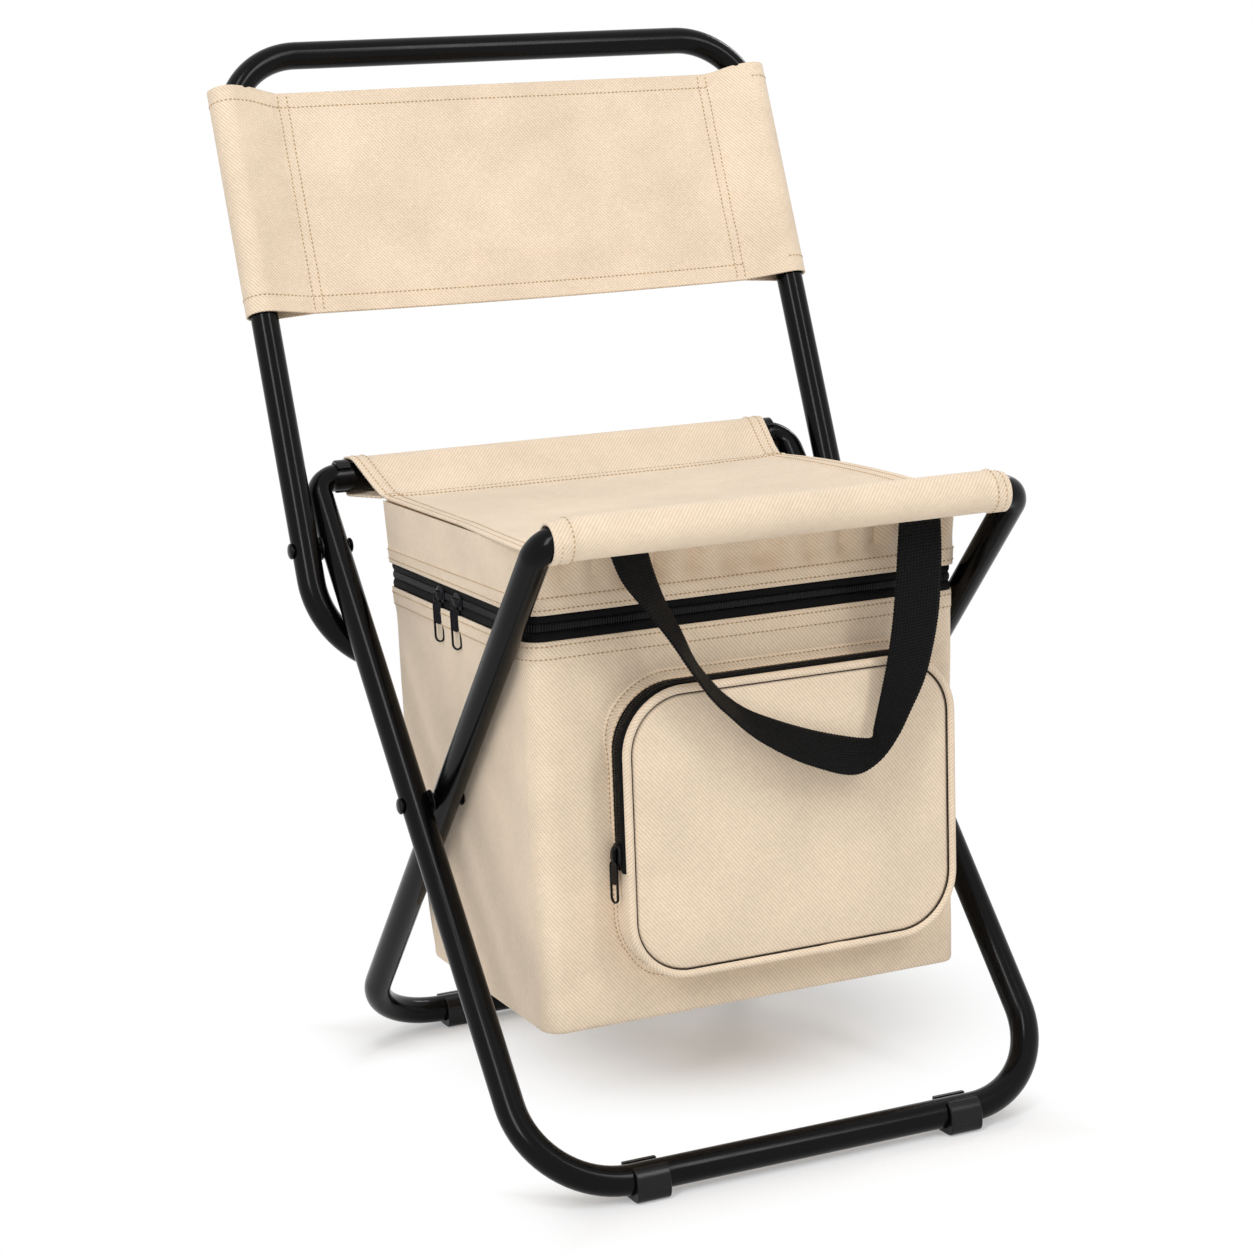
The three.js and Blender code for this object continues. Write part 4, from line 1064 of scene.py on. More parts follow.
def raised(part):
    """The same surface with the zipper's line raised towards the rear: by a share of ZIP_RISE that grows in a
    line from the bag's front to its rear, and fades out well below the zipper and close above it."""
    points, faces, uvs = part
    level = np.array([ZIP_LOW])
    front, rear = bag_fronts(level), bag_rears(level)
    share = np.clip((points[:, 1] - front) / (rear - front), 0, 1)
    z = points[:, 2]
    weight = smooth_step(z, ZIP_LOW - 120 * MM, ZIP_LOW) * smooth_step(-z, -ZIP_HIGH - 26 * MM, -ZIP_HIGH)
    return points + (ZIP_RISE * share * weight)[:, None] * UP, faces, uvs


BAG_CORNERS = np.array([5, 12, 8, 5]) * MM  # rear left, front left, front right, rear right


def ring_template(side_steps, corner_steps):
    """For each point of the bag's outline the two corners that it lies between, its share of the way, and the
    direction that it faces in degrees. It runs anticlockwise from above, from the rear's middle: left side,
    front, right side and back."""
    first, second, share, angle = [], [], [], []
    order = [3, 0, 1, 2, 3, 0]
    for k, steps in enumerate(side_steps):
        a, b = order[k], order[k + 1]
        where = np.linspace(0.5 if k == 0 else 0.0, 0.5 if k == 4 else 1.0, steps + 1)[:-1]
        first.append(np.full(steps, a))
        second.append(np.full(steps, b))
        share.append(where)
        angle.append(np.full(steps, 90.0 + 90 * k))
        if k < 4:
            first.append(np.full(corner_steps, b))
            second.append(np.full(corner_steps, b))
            share.append(np.zeros(corner_steps))
            angle.append(90.0 + 90 * k + np.linspace(0, 90, corner_steps + 1)[:-1])
    return [np.concatenate(a) for a in (first, second, share, angle)]


RING_SIDES = [24, 44, 56, 44, 24]
RING_CORNER = 8
BAG_TEMPLATE = ring_template(RING_SIDES, RING_CORNER)


def bag_surface(z, inset=0.0):
    """Points and outward normals of the bag's outline at heights z[i]: corner centres joined by straight
    runs, pushed out by the corner's radius along the direction that each point faces."""
    first, second, share, angle = BAG_TEMPLATE
    z = np.asarray(z, float)
    inset = np.broadcast_to(inset, z.shape)
    front_half, rear_half = [half - inset for half in bag_halves(z)]
    front, rear = bag_fronts(z) + inset, bag_rears(z) - inset
    r = np.maximum(BAG_CORNERS[None] - inset[:, None], 1 * MM)
    halves = np.stack([-rear_half, -front_half, front_half, rear_half], -1)
    xs = halves + r * [1, 1, -1, -1]
    ys = np.stack([rear, front, front, rear], -1) + r * [-1, 1, 1, -1]
    turn = np.radians(angle)
    normal = np.stack([np.cos(turn), np.sin(turn), np.zeros_like(turn)], -1)

    def between(values):
        return values[:, first] + (values[:, second] - values[:, first]) * share

    points = np.stack([between(xs), between(ys), np.broadcast_to(z[:, None], (len(z), len(turn)))], -1)
    return points + between(r)[..., None] * normal, np.broadcast_to(normal, points.shape).copy()


def outline_length():
    """Distance along the bag's outline at its zipper, which the weave and the folds are measured by."""
    return arc_lengths(looped(bag_surface([ZIP_LOW])[0][0]))


BAG_AROUND = outline_length()
BAG_AREA = ((0.0, BAG_AROUND[-1]), (BAG_BOTTOM, ZIP_LOW))


def soft_folds(s, z, seed, area, count, depth, lean, spread, length):
    """Sum of long low ridges at random places of an area. Each is a bell, exp(-(distance / size)^2), across
    itself with its size about spread, and along itself with its size about length. lean is the ridges' mean
    angle from z, and how far it varies."""
    random = np.random.default_rng(seed)
    total = np.zeros(np.broadcast(s, z).shape)
    for _ in range(count):
        ds, dz = s - random.uniform(*area[0]), z - random.uniform(*area[1])
        turn = random.normal(*lean)
        height = random.choice([-1, 1]) * random.uniform(0.4, 1) * depth
        wide = spread * random.uniform(0.6, 1.5)
        run_length = length * random.uniform(0.6, 1.4)
        across = ds * math.cos(turn) - dz * math.sin(turn)
        run = ds * math.sin(turn) + dz * math.cos(turn)
        total += height * np.exp(-((across / wide) ** 2) - (run / run_length) ** 2)
    return total


def fullness_at(points, normals, depth):
    """How far each panel stands out: a cushion, 1 - share^2 with share the distance from the panel's middle
    over half its width, and nothing at the corners."""
    front_back = np.abs(normals[..., 1]) > 0.99
    sides = np.abs(normals[..., 0]) > 0.99
    width = np.clip(1 - (points[..., 0] / (BAG_HALF - 4 * MM)) ** 2, 0, 1)
    z = points[..., 2]
    middle = (bag_fronts(z) + bag_rears(z)) / 2
    reach = (bag_rears(z) - bag_fronts(z)) / 2 - 4 * MM
    deep = np.clip(1 - ((points[..., 1] - middle) / reach) ** 2, 0, 1)
    # The legs lie close beside the sides, so these stand out less.
    return depth * (np.where(front_back, width, 0) + 0.15 * np.where(sides, deep, 0))


def squash_bag(piece, body="outer_frame"):
    """Lets a piece ride on its body, with a mesh of its own."""
    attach(piece, body)
    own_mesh(piece)


def ring_uv(heights):
    """The weave's places on rings round the bag: along the outline, and up."""
    return np.stack(np.meshgrid(heights, BAG_AROUND, indexing="ij"), -1)[..., ::-1]


def bag_body_surface(sizes):
    """The bag's wall below its zipper: the outline at each height, pushed out by its fullness, its folds and
    its creases. Its lowest 3 mm curve in towards the base."""
    rise = np.concatenate([[0, 0.5, 1.4, 3.0], np.linspace(6, 204, 96), [206.5, 208.2, 209.2, 210]]) * MM
    z = BAG_BOTTOM + rise
    curve = np.clip(1 - (1 - rise / (3 * MM)) ** 2, 0, 1)
    inset = 2.2 * MM * (1 - np.sqrt(curve)) * (rise < 3 * MM)
    points, normals = bag_surface(z, inset)
    s = BAG_AROUND[:-1][None]
    body = np.sin(np.clip(rise / BAG_HEIGHT, 0, 1) * np.pi) ** 0.6
    stand = fullness_at(points, normals, sizes.bag_fullness) * body[:, None]
    folds = soft_folds(s, z[:, None], 11, BAG_AREA, 70, sizes.fold_depth, (0, 0.5), 11 * MM, 55 * MM)
    creases = soft_folds(s, z[:, None], 29, BAG_AREA, 90, 0.4 * MM, (0.4, 0.9), 2.6 * MM, 20 * MM)
    # On the sides, beside the legs, the folds are half as deep and the cloth lies a little further in.
    ease = np.where(np.abs(normals[..., 0]) > 0.9, 0.5, 1.0)
    free = np.minimum(smooth_step(rise, 2 * MM, 26 * MM), smooth_step(BAG_HEIGHT - rise, 3 * MM, 18 * MM))
    stand = stand + (folds * ease + creases - 0.5 * MM * (ease < 1)) * free[:, None]
    # The turned edge under the zipper stands a little proud.
    stand = stand + (smooth_step(rise, 199.4 * MM, 200.4 * MM) * 0.5 * MM)[:, None]
    return points + normals * stand[..., None], z


DRAWN_IN = np.array([1.0, 0.985, 0.95, 0.85, 0.65, 0.4, 0.15])


def drawn_in(ring):
    """Rings that shrink from a ring towards its middle."""
    centre = ring.mean(0)
    return centre + (ring - centre) * DRAWN_IN[:, None, None]


def capped(rings, uv):
    """A grid of rings that close round, with a fan from its last ring to that ring's middle."""
    points, quads, quad_uv = grid(rings, uv, wrap_v=True)
    count = rings.shape[1]
    j = np.arange(count)
    last = (len(rings) - 1) * count
    fan = np.stack([last + j, np.full(count, len(points)), last + (j + 1) % count], -1)
    middle = np.broadcast_to(uv[-1, :-1].mean(0), (count, 2))
    fan_uv = np.stack([uv[-1, :-1], middle, uv[-1, 1:]], 1)
    return np.concatenate([points, [rings[-1].mean(0)]]), [*quads, fan], [*quad_uv, fan_uv]


def bag_band_surface():
    """The band from the zipper to the seat: straight between its foot and its top, which follows the seat's
    underside. Its turned foot stands a little proud. Between the two it has creases, and across the front
    also soft gathers and a row of pleats. A pleat goes in by (1/2 + cos(a) / 2)^1.5, where a grows with the
    distance along the outline, now faster and now slower."""
    low, high = ZIP_HIGH, SEAT_FRONT[2]
    share = np.concatenate([[0, 0.02, 0.05], np.linspace(0.08, 1, 30)])
    foot, normals = bag_surface([low])
    top, _ = bag_surface([high])
    under_hem = 0.7 * MM * smooth_step(np.abs(normals[0, :, 0]), 0.5, 0.9)
    under_seat = seat_height(top[0, :, 0], top[0, :, 1]) - 1.25 * MM + under_hem
    band = foot + (top - foot) * share[:, None, None]
    band[..., 2] = low + (under_seat[None] - low) * share[:, None]
    s = BAG_AROUND[:-1][None]
    front = smooth_step(-normals[..., 1], 0.2, 0.9)
    area = ((0.0, BAG_AROUND[-1]), (low + 8 * MM, high))
    gathers = soft_folds(s, band[..., 2], 5, area, 60, 2.2 * MM, (0, 0.2), 6 * MM, 24 * MM) * front
    folded = 0.5 + 0.5 * np.cos(s / (3.2 * MM) + 1.2 * np.sin(s / (29 * MM)))
    pleats = -6 * MM * folded**1.5 * front
    creases = soft_folds(s, band[..., 2], 8, area, 60, 0.5 * MM, (0, 0.7), 4 * MM, 18 * MM)
    free = smooth_step(share, 0.22, 0.6) * smooth_step(1 - share, 0, 0.12)
    stand = (gathers + pleats + creases * 0.8) * free[:, None]
    stand = stand + (1 - smooth_step(share, 0.245, 0.275))[:, None] * 0.5 * MM
    return band + normals * stand[..., None], normals


def level_row(surface, normals, level, pitch):
    """Stitches round a surface at one height, through the point of each column that lies there."""
    column_z = surface[..., 2]
    above = np.clip(np.argmax(column_z >= level, axis=0), 1, len(column_z) - 1)
    j = np.arange(column_z.shape[1])
    below_z, above_z = column_z[above - 1, j], column_z[above, j]
    share = np.clip((level - below_z) / np.maximum(above_z - below_z, 1e-9), 0, 1)[:, None]
    path = surface[above - 1, j] * (1 - share) + surface[above, j] * share
    return stitch_row(looped(path), looped(normals[0]), pitch)


def weld_and_thicken(piece):
    """Joins the seams of a surface made in parts, and gives the cloth its thickness inwards."""
    weld = piece.modifiers.new("Seams", "WELD")
    weld.merge_threshold = 0.02 * MM
    solid = piece.modifiers.new("Cloth thickness", "SOLIDIFY")
    solid.thickness = CLOTH
    solid.offset = -1.0


class STOOL_OT_bag(bpy.types.Operator):
    """Makes the bag's body, the band up to the seat with its lid, and their stitching"""

    bl_idname = "stool.bag"
    bl_label = "Cooler bag"

    def execute(self, context):
        sizes = context.scene.stool_sizes
        pitch = sizes.stitch_pitch
        points, z = bag_body_surface(sizes)
        wall = grid(points, ring_uv(z - BAG_BOTTOM), wrap_v=True)
        rings = drawn_in(points[0])
        rings[..., 2] -= 0.4 * MM * np.sqrt(np.sin(DRAWN_IN * np.pi))[:, None]
        base = capped(rings, looped(rings[..., :2], 1))
        body = make_piece("bag_cloth", raised(joined([turned(wall), base])), "cloth", crease=60)
        weld_and_thicken(body)
        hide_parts("bag_body")
        squash_bag(body)

        band, normals = bag_band_surface()
        heights = BAG_HEIGHT + 10 * MM + band[:, 0, 2] - ZIP_HIGH
        # A lid under the seat closes the bag, so that it stays shut when the seat goes slack.
        lid = drawn_in(band[-1])
        lid[1:, :, 2] = seat_height(lid[1:, :, 0], lid[1:, :, 1]) - 2.6 * MM
        top = turned(capped(lid, looped(lid[..., :2], 1)))
        part = raised(joined([turned(grid(band, ring_uv(heights), wrap_v=True)), top]))
        upper = make_piece("bag_band", part, "cloth", crease=60)
        weld_and_thicken(upper)
        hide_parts("bag_top_band")
        squash_bag(upper)

        rows = [level_row(points, normals, z[-1] - down, pitch) for down in (2.6 * MM, 9.2 * MM)]
        rows += [level_row(band, normals, ZIP_HIGH + up, pitch) for up in (2.6 * MM, 9.0 * MM)]
        sewing = make_piece("bag_stitching", raised(joined(rows)), "thread", crease=80)
        squash_bag(sewing)
        return {"FINISHED"}


# Liner


class STOOL_OT_liner(bpy.types.Operator):
    """Makes the foam liner with its film face, an open cup inside the bag"""

    bl_idname = "stool.liner"
    bl_label = "Cooler liner"

    def execute(self, context):
        z = BAG_BOTTOM + np.concatenate([[2.4, 4.5, 8], np.linspace(14, 209, 30)]) * MM
        outside, normals = bag_surface(z, 2.8 * MM)
        inner_z = z[::-1].copy()
        inner_z[-3:] = BAG_BOTTOM + np.array([9.0, 7.2, 6.2]) * MM
        inside, _ = bag_surface(inner_z, 7 * MM)
        quilt = 0.5 * MM * np.cos((inner_z[:, None] - BAG_BOTTOM) / (24 * MM) * np.pi) ** 2
        inside = inside + normals[:1] * quilt[..., None]
        part = outward(tube(np.concatenate([outside, inside])))
        piece = make_piece("foam_liner", part, "film")
        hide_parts("bag_liner")
        squash_bag(piece)
        return {"FINISHED"}


# Main zipper and the bag's hinge


HINGE_STEPS = 20  # places of the bag's outline, from the rear's middle, to each end of the zipper


def outline_run(z, forward):
    """The zipper's middle line, from rear corner to rear corner round the front, or the hinge's across the
    rear: points on the outline at height z, and the directions that they face."""
    ring, normals = bag_surface([z])
    ring, normals = ring[0], normals[0]
    if forward:
        return ring[HINGE_STEPS:-HINGE_STEPS], normals[HINGE_STEPS:-HINGE_STEPS]
    ends = slice(-HINGE_STEPS - 1, None), slice(None, HINGE_STEPS + 1)
    return [np.concatenate([values[ends[0]], values[ends[1]]]) for values in (ring, normals)]


def strip_rings(path, up, normals, profile):
    """A closed profile of height and depth carried along a path: height along up, and depth along normals."""
    return path[:, None] + profile[None, :, :1] * up + profile[None, :, 1:] * normals[:, None]


def coil_tooth(width, pitch):
    """One turn of a coil: a short bar across the zipper, its ends rounded, humped towards the outside."""
    t = np.linspace(-1, 1, 5)
    angle = full_turn(6)
    swell = np.sqrt(np.clip(1 - (t * 0.93) ** 4, 0.02, 1))
    rings = np.stack(
        [
            (pitch * 0.32) * swell[:, None] * np.cos(angle),
            np.broadcast_to(t[:, None] * width / 2, (5, 6)),
            0.45 * MM * (1 - t[:, None] ** 2) + (pitch * 0.36) * swell[:, None] * np.sin(angle),
        ],
        -1,
    )
    return outward(tube(rings))


def coil_row(path, normals, across, pitch, width):
    """Teeth along a path, each across it and facing out."""
    lengths = arc_lengths(path)
    count = int(lengths[-1] / pitch)
    where = (np.arange(count) + 0.5) * pitch

    def at(values):
        return np.stack([np.interp(where, lengths, values[:, k]) for k in range(3)], -1)

    z_axis = unit(at(normals))
    y_axis = unit(at(across) - z_axis * np.einsum("nc,nc->n", at(across), z_axis)[:, None])
    x_axis = np.cross(y_axis, z_axis)
    return copies(coil_tooth(width, pitch), at(path), np.stack([x_axis, y_axis, z_axis], 1))


def tape_profile(low, high, depth, bulge, thickness, steps=15):
    """Height and depth of one tape, as a closed line: a strip that bellies out between its edges."""
    t = np.linspace(0, 1, steps)
    height = low + (high - low) * t
    face = depth + bulge * np.sin(t * np.pi) ** 0.7
    front = np.stack([height, face], -1)
    return np.concatenate([front, np.stack([height, face - thickness], -1)[::-1]])


class STOOL_OT_zipper(bpy.types.Operator):
    """Makes the main zipper round three sides of the bag, and the cloth hinge behind it"""

    bl_idname = "stool.zipper"
    bl_label = "Main zipper"

    def execute(self, context):
        sizes = context.scene.stool_sizes
        middle = (ZIP_LOW + ZIP_HIGH) / 2
        path, normals = outline_run(middle, forward=True)
        tapes = []
        for low, high in ((-8.2 * MM, -1.9 * MM), (1.9 * MM, 8.2 * MM)):
            profile = tape_profile(low, high, -2.2 * MM, 1.5 * MM, 0.9 * MM)
            tapes.append(outward(tube(strip_rings(path, UP, normals, profile))))
        tape = make_piece("main_zipper_tape", raised(joined(tapes)), "tape", crease=70)
        backing = tape_profile(-3 * MM, 3 * MM, -2.7 * MM, 0.1 * MM, 0.5 * MM, steps=5)
        under = outward(tube(strip_rings(path, UP, normals, backing)))
        up = np.broadcast_to(UP, path.shape)
        teeth = coil_row(path - normals * 1.7 * MM, normals, up, sizes.coil_pitch, 4.6 * MM)
        coil = make_piece("main_zipper_coil", raised(joined([under, teeth])), "coil", crease=70)
        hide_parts("main_zipper")
        for piece in (tape, coil):
            squash_bag(piece)
        path, normals = outline_run(middle, forward=False)
        half = (ZIP_HIGH - ZIP_LOW) / 2 + 0.4 * MM
        profile = tape_profile(-half, half, -0.6 * MM, 0.3 * MM, CLOTH, steps=9)
        cloth = raised(outward(tube(strip_rings(path, UP, normals, profile))))
        hinge = make_piece("bag_hinge_cloth", cloth, "cloth", crease=60)
        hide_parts("bag_rear_hinge")
        squash_bag(hinge)
        return {"FINISHED"}


# Front pocket


POCKET = {"left": -82 * MM, "right": 111 * MM, "low": 27 * MM, "high": 183 * MM, "corner": 34 * MM}
WALL_LEAN = math.atan2(9.5 * MM, 206 * MM)
POCKET_UP = np.array([0, -math.sin(WALL_LEAN), math.cos(WALL_LEAN)])
POCKET_OUT = np.array([0, -math.cos(WALL_LEAN), -math.sin(WALL_LEAN)])
POCKET_FOOT = 4 * MM  # of the pocket's origin over the bag's bottom
POCKET_ORIGIN = np.array([0, CENTRE_Y - 101 * MM, BAG_BOTTOM + POCKET_FOOT])
POCKET_FRONT = 18.3 * MM
POCKET_BEND = 14  # steps of each corner
POCKET_RUN = 20  # steps of each straight side
CORD_JOINT = 38 * MM  # x of the piping's joint
CORD_OVERLAP = 6.5 * MM  # to each side of it


def pocket_outline(outset):
    """X and height of a rounded rectangle, anticlockwise as seen from the front, from its lower right corner,
    and its outward directions. An outset down the left side is drawn in again by three quarters."""
    left, right = POCKET["left"] - outset, POCKET["right"] + outset
    loop = {
        "half_width": (right - left) / 2,
        "low": POCKET["low"] - POCKET_FOOT - outset,
        "high": POCKET["high"] - POCKET_FOOT + outset,
        "low_bend": POCKET["corner"] + outset,
        "high_bend": POCKET["corner"] + outset,
    }
    points, normals, _ = rounded_loop(loop, POCKET_BEND, POCKET_RUN)
    points = points + [(left + right) / 2, 0]
    # The stitched strip is narrow down the left side, where the zipper leans over it.
    side = smooth_step(POCKET["left"] + 20 * MM - points[:, 0], 0, 20 * MM)
    side = side * (1 - smooth_step(points[:, 1], POCKET["high"] - 48 * MM, POCKET["high"] - 16 * MM))
    points[:, 0] += 0.75 * max(outset, 0) * side
    return points, normals


def in_pocket_plane(flat):
    return flat[..., :1] * X_AXIS + flat[..., 1:] * POCKET_UP


def pocket_point(flat, depth):
    """Places at x and height in the pocket's plane, and at one depth in front of it or at one for each."""
    return POCKET_ORIGIN + in_pocket_plane(flat) + np.multiply.outer(depth, POCKET_OUT)


def outward_from(part):
    """An open surface of the pocket with its faces turned away from a place 30 mm behind its middle."""
    points, faces, _ = part
    f = faces[0]
    normal = np.cross(points[f[:, 1]] - points[f[:, 0]], points[f[:, 2]] - points[f[:, 0]])
    middle = points.mean(0) - 30 * MM * POCKET_OUT
    return part if np.einsum("nc,nc->", normal, points[f[:, 0]] - middle) > 0 else turned(part)


def pocket_cord(outset, depth, radius, sides, joint=0.0):
    """A round cord carried along the pocket's outline at an outset and a depth. Where its ends are joined, at
    the bottom, it is thicker by the share joint."""
    flat, normal = pocket_outline(outset)
    at_joint = (flat[:, 1] < POCKET["low"]) & (np.abs(flat[:, 0] - CORD_JOINT) < CORD_OVERLAP)
    radius = radius * (1 + joint * at_joint)[:, None, None]
    middle = pocket_point(flat, depth)
    facing = in_pocket_plane(normal)
    angle = full_turn(sides)
    rings = middle[:, None] + radius * (
        np.cos(angle)[None, :, None] * facing[:, None] + np.sin(angle)[None, :, None] * POCKET_OUT
    )
    return outward(tube(rings, closed=True))


def pocket_zip(sizes):
    """The pocket's zipper on its gusset: up the left side, along the top and round the upper right corner."""
    flat, normal = pocket_outline(0.0)
    start_height = POCKET["low"] + 56 * MM
    # The outline's lower right corner and right side are left out, and so is what lies past the start.
    flat, normal = flat[POCKET_BEND + POCKET_RUN :], normal[POCKET_BEND + POCKET_RUN :]
    left_foot = (normal[:, 0] < -1 + 1e-6) & (flat[:, 1] < start_height)
    stop = np.argmax(left_foot)
    base = pocket_point(np.concatenate([flat[:stop], [[POCKET["left"], start_height]]]), 11.2 * MM)
    facing = in_pocket_plane(np.concatenate([normal[:stop], [[-1.0, 0]]]))
    tapes = []
    for low, high in ((-5.9 * MM, -1.7 * MM), (1.7 * MM, 5.9 * MM)):
        profile = tape_profile(low, high, 0.1 * MM, 0.9 * MM, 0.7 * MM, steps=9)
        tapes.append(outward(tube(strip_rings(base, POCKET_OUT, facing, profile))))
    tape = make_piece("pocket_zipper_tape", joined(tapes), "tape", crease=70)
    backing = tape_profile(-2 * MM, 2 * MM, 0.05 * MM, 0.05 * MM, 0.4 * MM, steps=5)
    under = outward(tube(strip_rings(base, POCKET_OUT, facing, backing)))
    across = np.broadcast_to(POCKET_OUT, base.shape)
    teeth = coil_row(base + facing * 0.8 * MM, facing, across, sizes.coil_pitch, 4.2 * MM)
    coil = make_piece("pocket_zipper_coil", joined([under, teeth]), "coil", crease=70)
    return tape, coil


class STOOL_OT_pocket(bpy.types.Operator):
    """Makes the front pocket: its gusset, crowned panel, piping, zipper and stitching"""

    bl_idname = "stool.pocket"
    bl_label = "Front pocket"

    def execute(self, context):
        sizes = context.scene.stool_sizes
        pitch = sizes.stitch_pitch
        # Gusset: a stitched strip that lies on the bag, then a wall that draws in a little towards the panel.
        stations = np.array([
            (5.6, 0.2), (5.9, 0.9), (5.4, 1.7), (4.2, 2.3), (2.6, 2.5), (1.2, 2.9), (0.4, 4.0),
            (0.1, 6.0), (-0.1, 10.0), (-0.3, 14.0), (-0.6, 17.0), (-1.6, 18.0), (-3.4, 18.2), (-6.0, 18.0),
        ]) * MM
        rings = np.stack([pocket_point(pocket_outline(outset)[0], depth) for outset, depth in stations])
        down = arc_lengths(np.pad(stations, ((0, 0), (0, 1))))
        uv = np.stack(np.meshgrid(down, arc_lengths(looped(rings[0])), indexing="ij"), -1)[..., ::-1]
        part = outward_from(grid(rings, uv, wrap_v=True))
        gusset = make_piece("pocket_gusset", part, "cloth", crease=70, thickness=0.9 * MM)
        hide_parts("pocket_shell")

        # Panel: rings that shrink to the middle, and rise over a rounded lip as a cushion, 1 - (1 - share)^3.
        shares = np.concatenate([[0, 0.012, 0.03], np.linspace(0.06, 1, 26)[:-1]])
        edge, _ = pocket_outline(-3.9 * MM)
        middle = np.array([POCKET["left"] + POCKET["right"], POCKET["low"] + POCKET["high"]]) / 2
        middle[1] -= POCKET_FOOT
        flat = middle + (edge - middle)[None] * (1 - shares)[:, None, None]
        rise = 1 - (1 - shares) ** 3
        lip = np.sqrt(np.clip(1 - (1 - np.clip(shares / 0.03, 0, 1)) ** 2, 0, 1))
        lean = np.sin(flat[..., 0] / (17 * MM) + flat[..., 1] / (41 * MM))
        creases = 0.5 * MM * lean * np.sin(flat[..., 1] / (29 * MM))
        stand = 0.2 * MM + 1.7 * MM * lip + sizes.pocket_crown * rise
        depth = POCKET_FRONT + stand[:, None] + creases * rise[:, None]
        part = outward_from(capped(pocket_point(flat, depth), looped(flat, 1)))
        panel = make_piece("pocket_front", part, "cloth", crease=60, thickness=CLOTH)
        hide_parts("pocket_panel")

        # Piping: a cord in cloth round the panel, and between the two a black cord: edging and painted groove
        # shade.
        cord = pocket_cord(-1.6 * MM, POCKET_FRONT + 1.5 * MM, 2.25 * MM, 16, joint=0.13)
        piping = make_piece("pocket_piping_cord", cord, "cloth", crease=70)
        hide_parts("pocket_piping")
        # Thin black cord in the groove: partly black edging, partly painted shade where the piping meets the
        # panel.
        cord = pocket_cord(-3.95 * MM, POCKET_FRONT + 1.9 * MM, 0.36 * MM, 8)
        edging_and_groove_shade = make_piece("pocket_edging", cord, "tape", crease=70)

        tape, coil = pocket_zip(sizes)
        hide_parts("pocket_zipper")

        rows = []
        for outset, depth, sideways in ((4.4 * MM, 2.2 * MM, 0.2), (0.3 * MM, 4.6 * MM, 2.5)):
            flat, normal = pocket_outline(outset)
            facing = unit(POCKET_OUT + sideways * in_pocket_plane(normal))
            rows.append(stitch_row(looped(pocket_point(flat, depth)), looped(facing), pitch))
        sewing = make_piece("pocket_stitching", joined(rows), "thread", crease=80)
        for piece in (gusset, panel, piping, edging_and_groove_shade, tape, coil, sewing):
            squash_bag(piece)
        return {"FINISHED"}


# Sliders and pulls


def at_heights(layers):
    """Rings from pairs of a flat line and its height."""
    return np.stack([np.concatenate([line, np.full((len(line), 1), height)], -1) for line, height in layers])


def rounded_plate(outline, thickness, bevel):
    """A flat outline given a thickness, its rim cut off: rings that step in by the bevel at both faces."""
    inner = outline + unit(outline.mean(0) - outline) * bevel
    face, rim = thickness / 2, thickness / 2 - bevel
    return outward(tube(at_heights([(inner, -face), (outline, -rim), (outline, rim), (inner, face)])))


def oblong(half_width, low, high):
    """A closed line: two straight sides between two half circles, the long way along y."""
    angle = np.linspace(0, np.pi, 16)
    top = np.stack([half_width * np.cos(angle), high - half_width + half_width * np.sin(angle)], -1)
    bottom = np.stack([-half_width * np.cos(angle), low + half_width - half_width * np.sin(angle)], -1)
    return np.concatenate([top, bottom])


def ring_plate(outer, inner, thickness):
    """A flat ring between two lines of equally many points, with its rims cut off by the bevel."""
    bevel = 0.25 * MM
    step = unit(outer - inner) * bevel
    half = thickness / 2
    above = [(outer, half - bevel), (outer - step, half), (inner + step, half), (inner, half - bevel)]
    rings = at_heights([*above, *[(line, -height) for line, height in above[::-1]]])
    return outward(tube(rings.swapaxes(0, 1), closed=True))


def slider_part():
    """A slider in its own frame: x along the zipper, y across it and z away from it. It is a crowned plate
    with a drawn-in nose and tail, and the arch that holds the pull."""
    angle = full_turn(28)
    x, y = np.cos(angle), np.sin(angle)
    length, width = 6.2 * MM, 5.2 * MM
    outline = np.stack([np.sign(x) * np.abs(x) ** 0.7 * length, np.sign(y) * np.abs(y) ** 0.6 * width], -1)
    outline[:, 1] *= 1 - 0.18 * (outline[:, 0] / length) ** 2
    levels = [(0.9, 0.2), (1.0, 0.5), (1.0, 1.1), (0.94, 1.7), (0.78, 2.2), (0.5, 2.5), (0.2, 2.6)]
    plate = outward(tube(at_heights([(outline * share, height * MM) for share, height in levels])))
    arch = np.linspace(0, np.pi, 17)
    middle = np.stack([4.3 * MM * np.cos(arch), np.zeros(17), 1.9 * MM + 3.0 * MM * np.sin(arch)], -1)
    normal = np.stack([np.cos(arch), np.zeros(17), np.sin(arch)], -1)
    turn = full_turn(10) + np.pi / 10
    flattened = np.sign(np.sin(turn)) * np.abs(np.sin(turn)) ** 0.6
    rings = (
        middle[:, None]
        + 2.1 * MM * flattened[None, :, None] * np.array([0, 1, 0])
        + 0.75 * MM * np.cos(turn)[None, :, None] * normal[:, None]
    )
    return joined([plate, outward(tube(rings))])


def pull_part():
    """A pull in its own frame, hanging down -y from its pivot with z away from the zipper: an eye, a raised
    rim, and a thinner plate in it that leaves an oblong hole at the tip."""
    half = 3.3 * MM
    tip = -26 * MM
    eye = ring_plate(oblong(2.4 * MM, -3.8 * MM, 2.1 * MM), oblong(1.3 * MM, -2.7 * MM, 1.1 * MM), 1.1 * MM)
    rim_inner = oblong(half - 1.0 * MM, tip + 1.0 * MM, -3.9 * MM)
    rim = ring_plate(oblong(half, tip, -2.9 * MM), rim_inner, 1.3 * MM)
    web = rounded_plate(oblong(half - 0.6 * MM, tip + 10 * MM, -3.3 * MM), 0.7 * MM, 0.1 * MM)
    return joined([eye, rim, web])


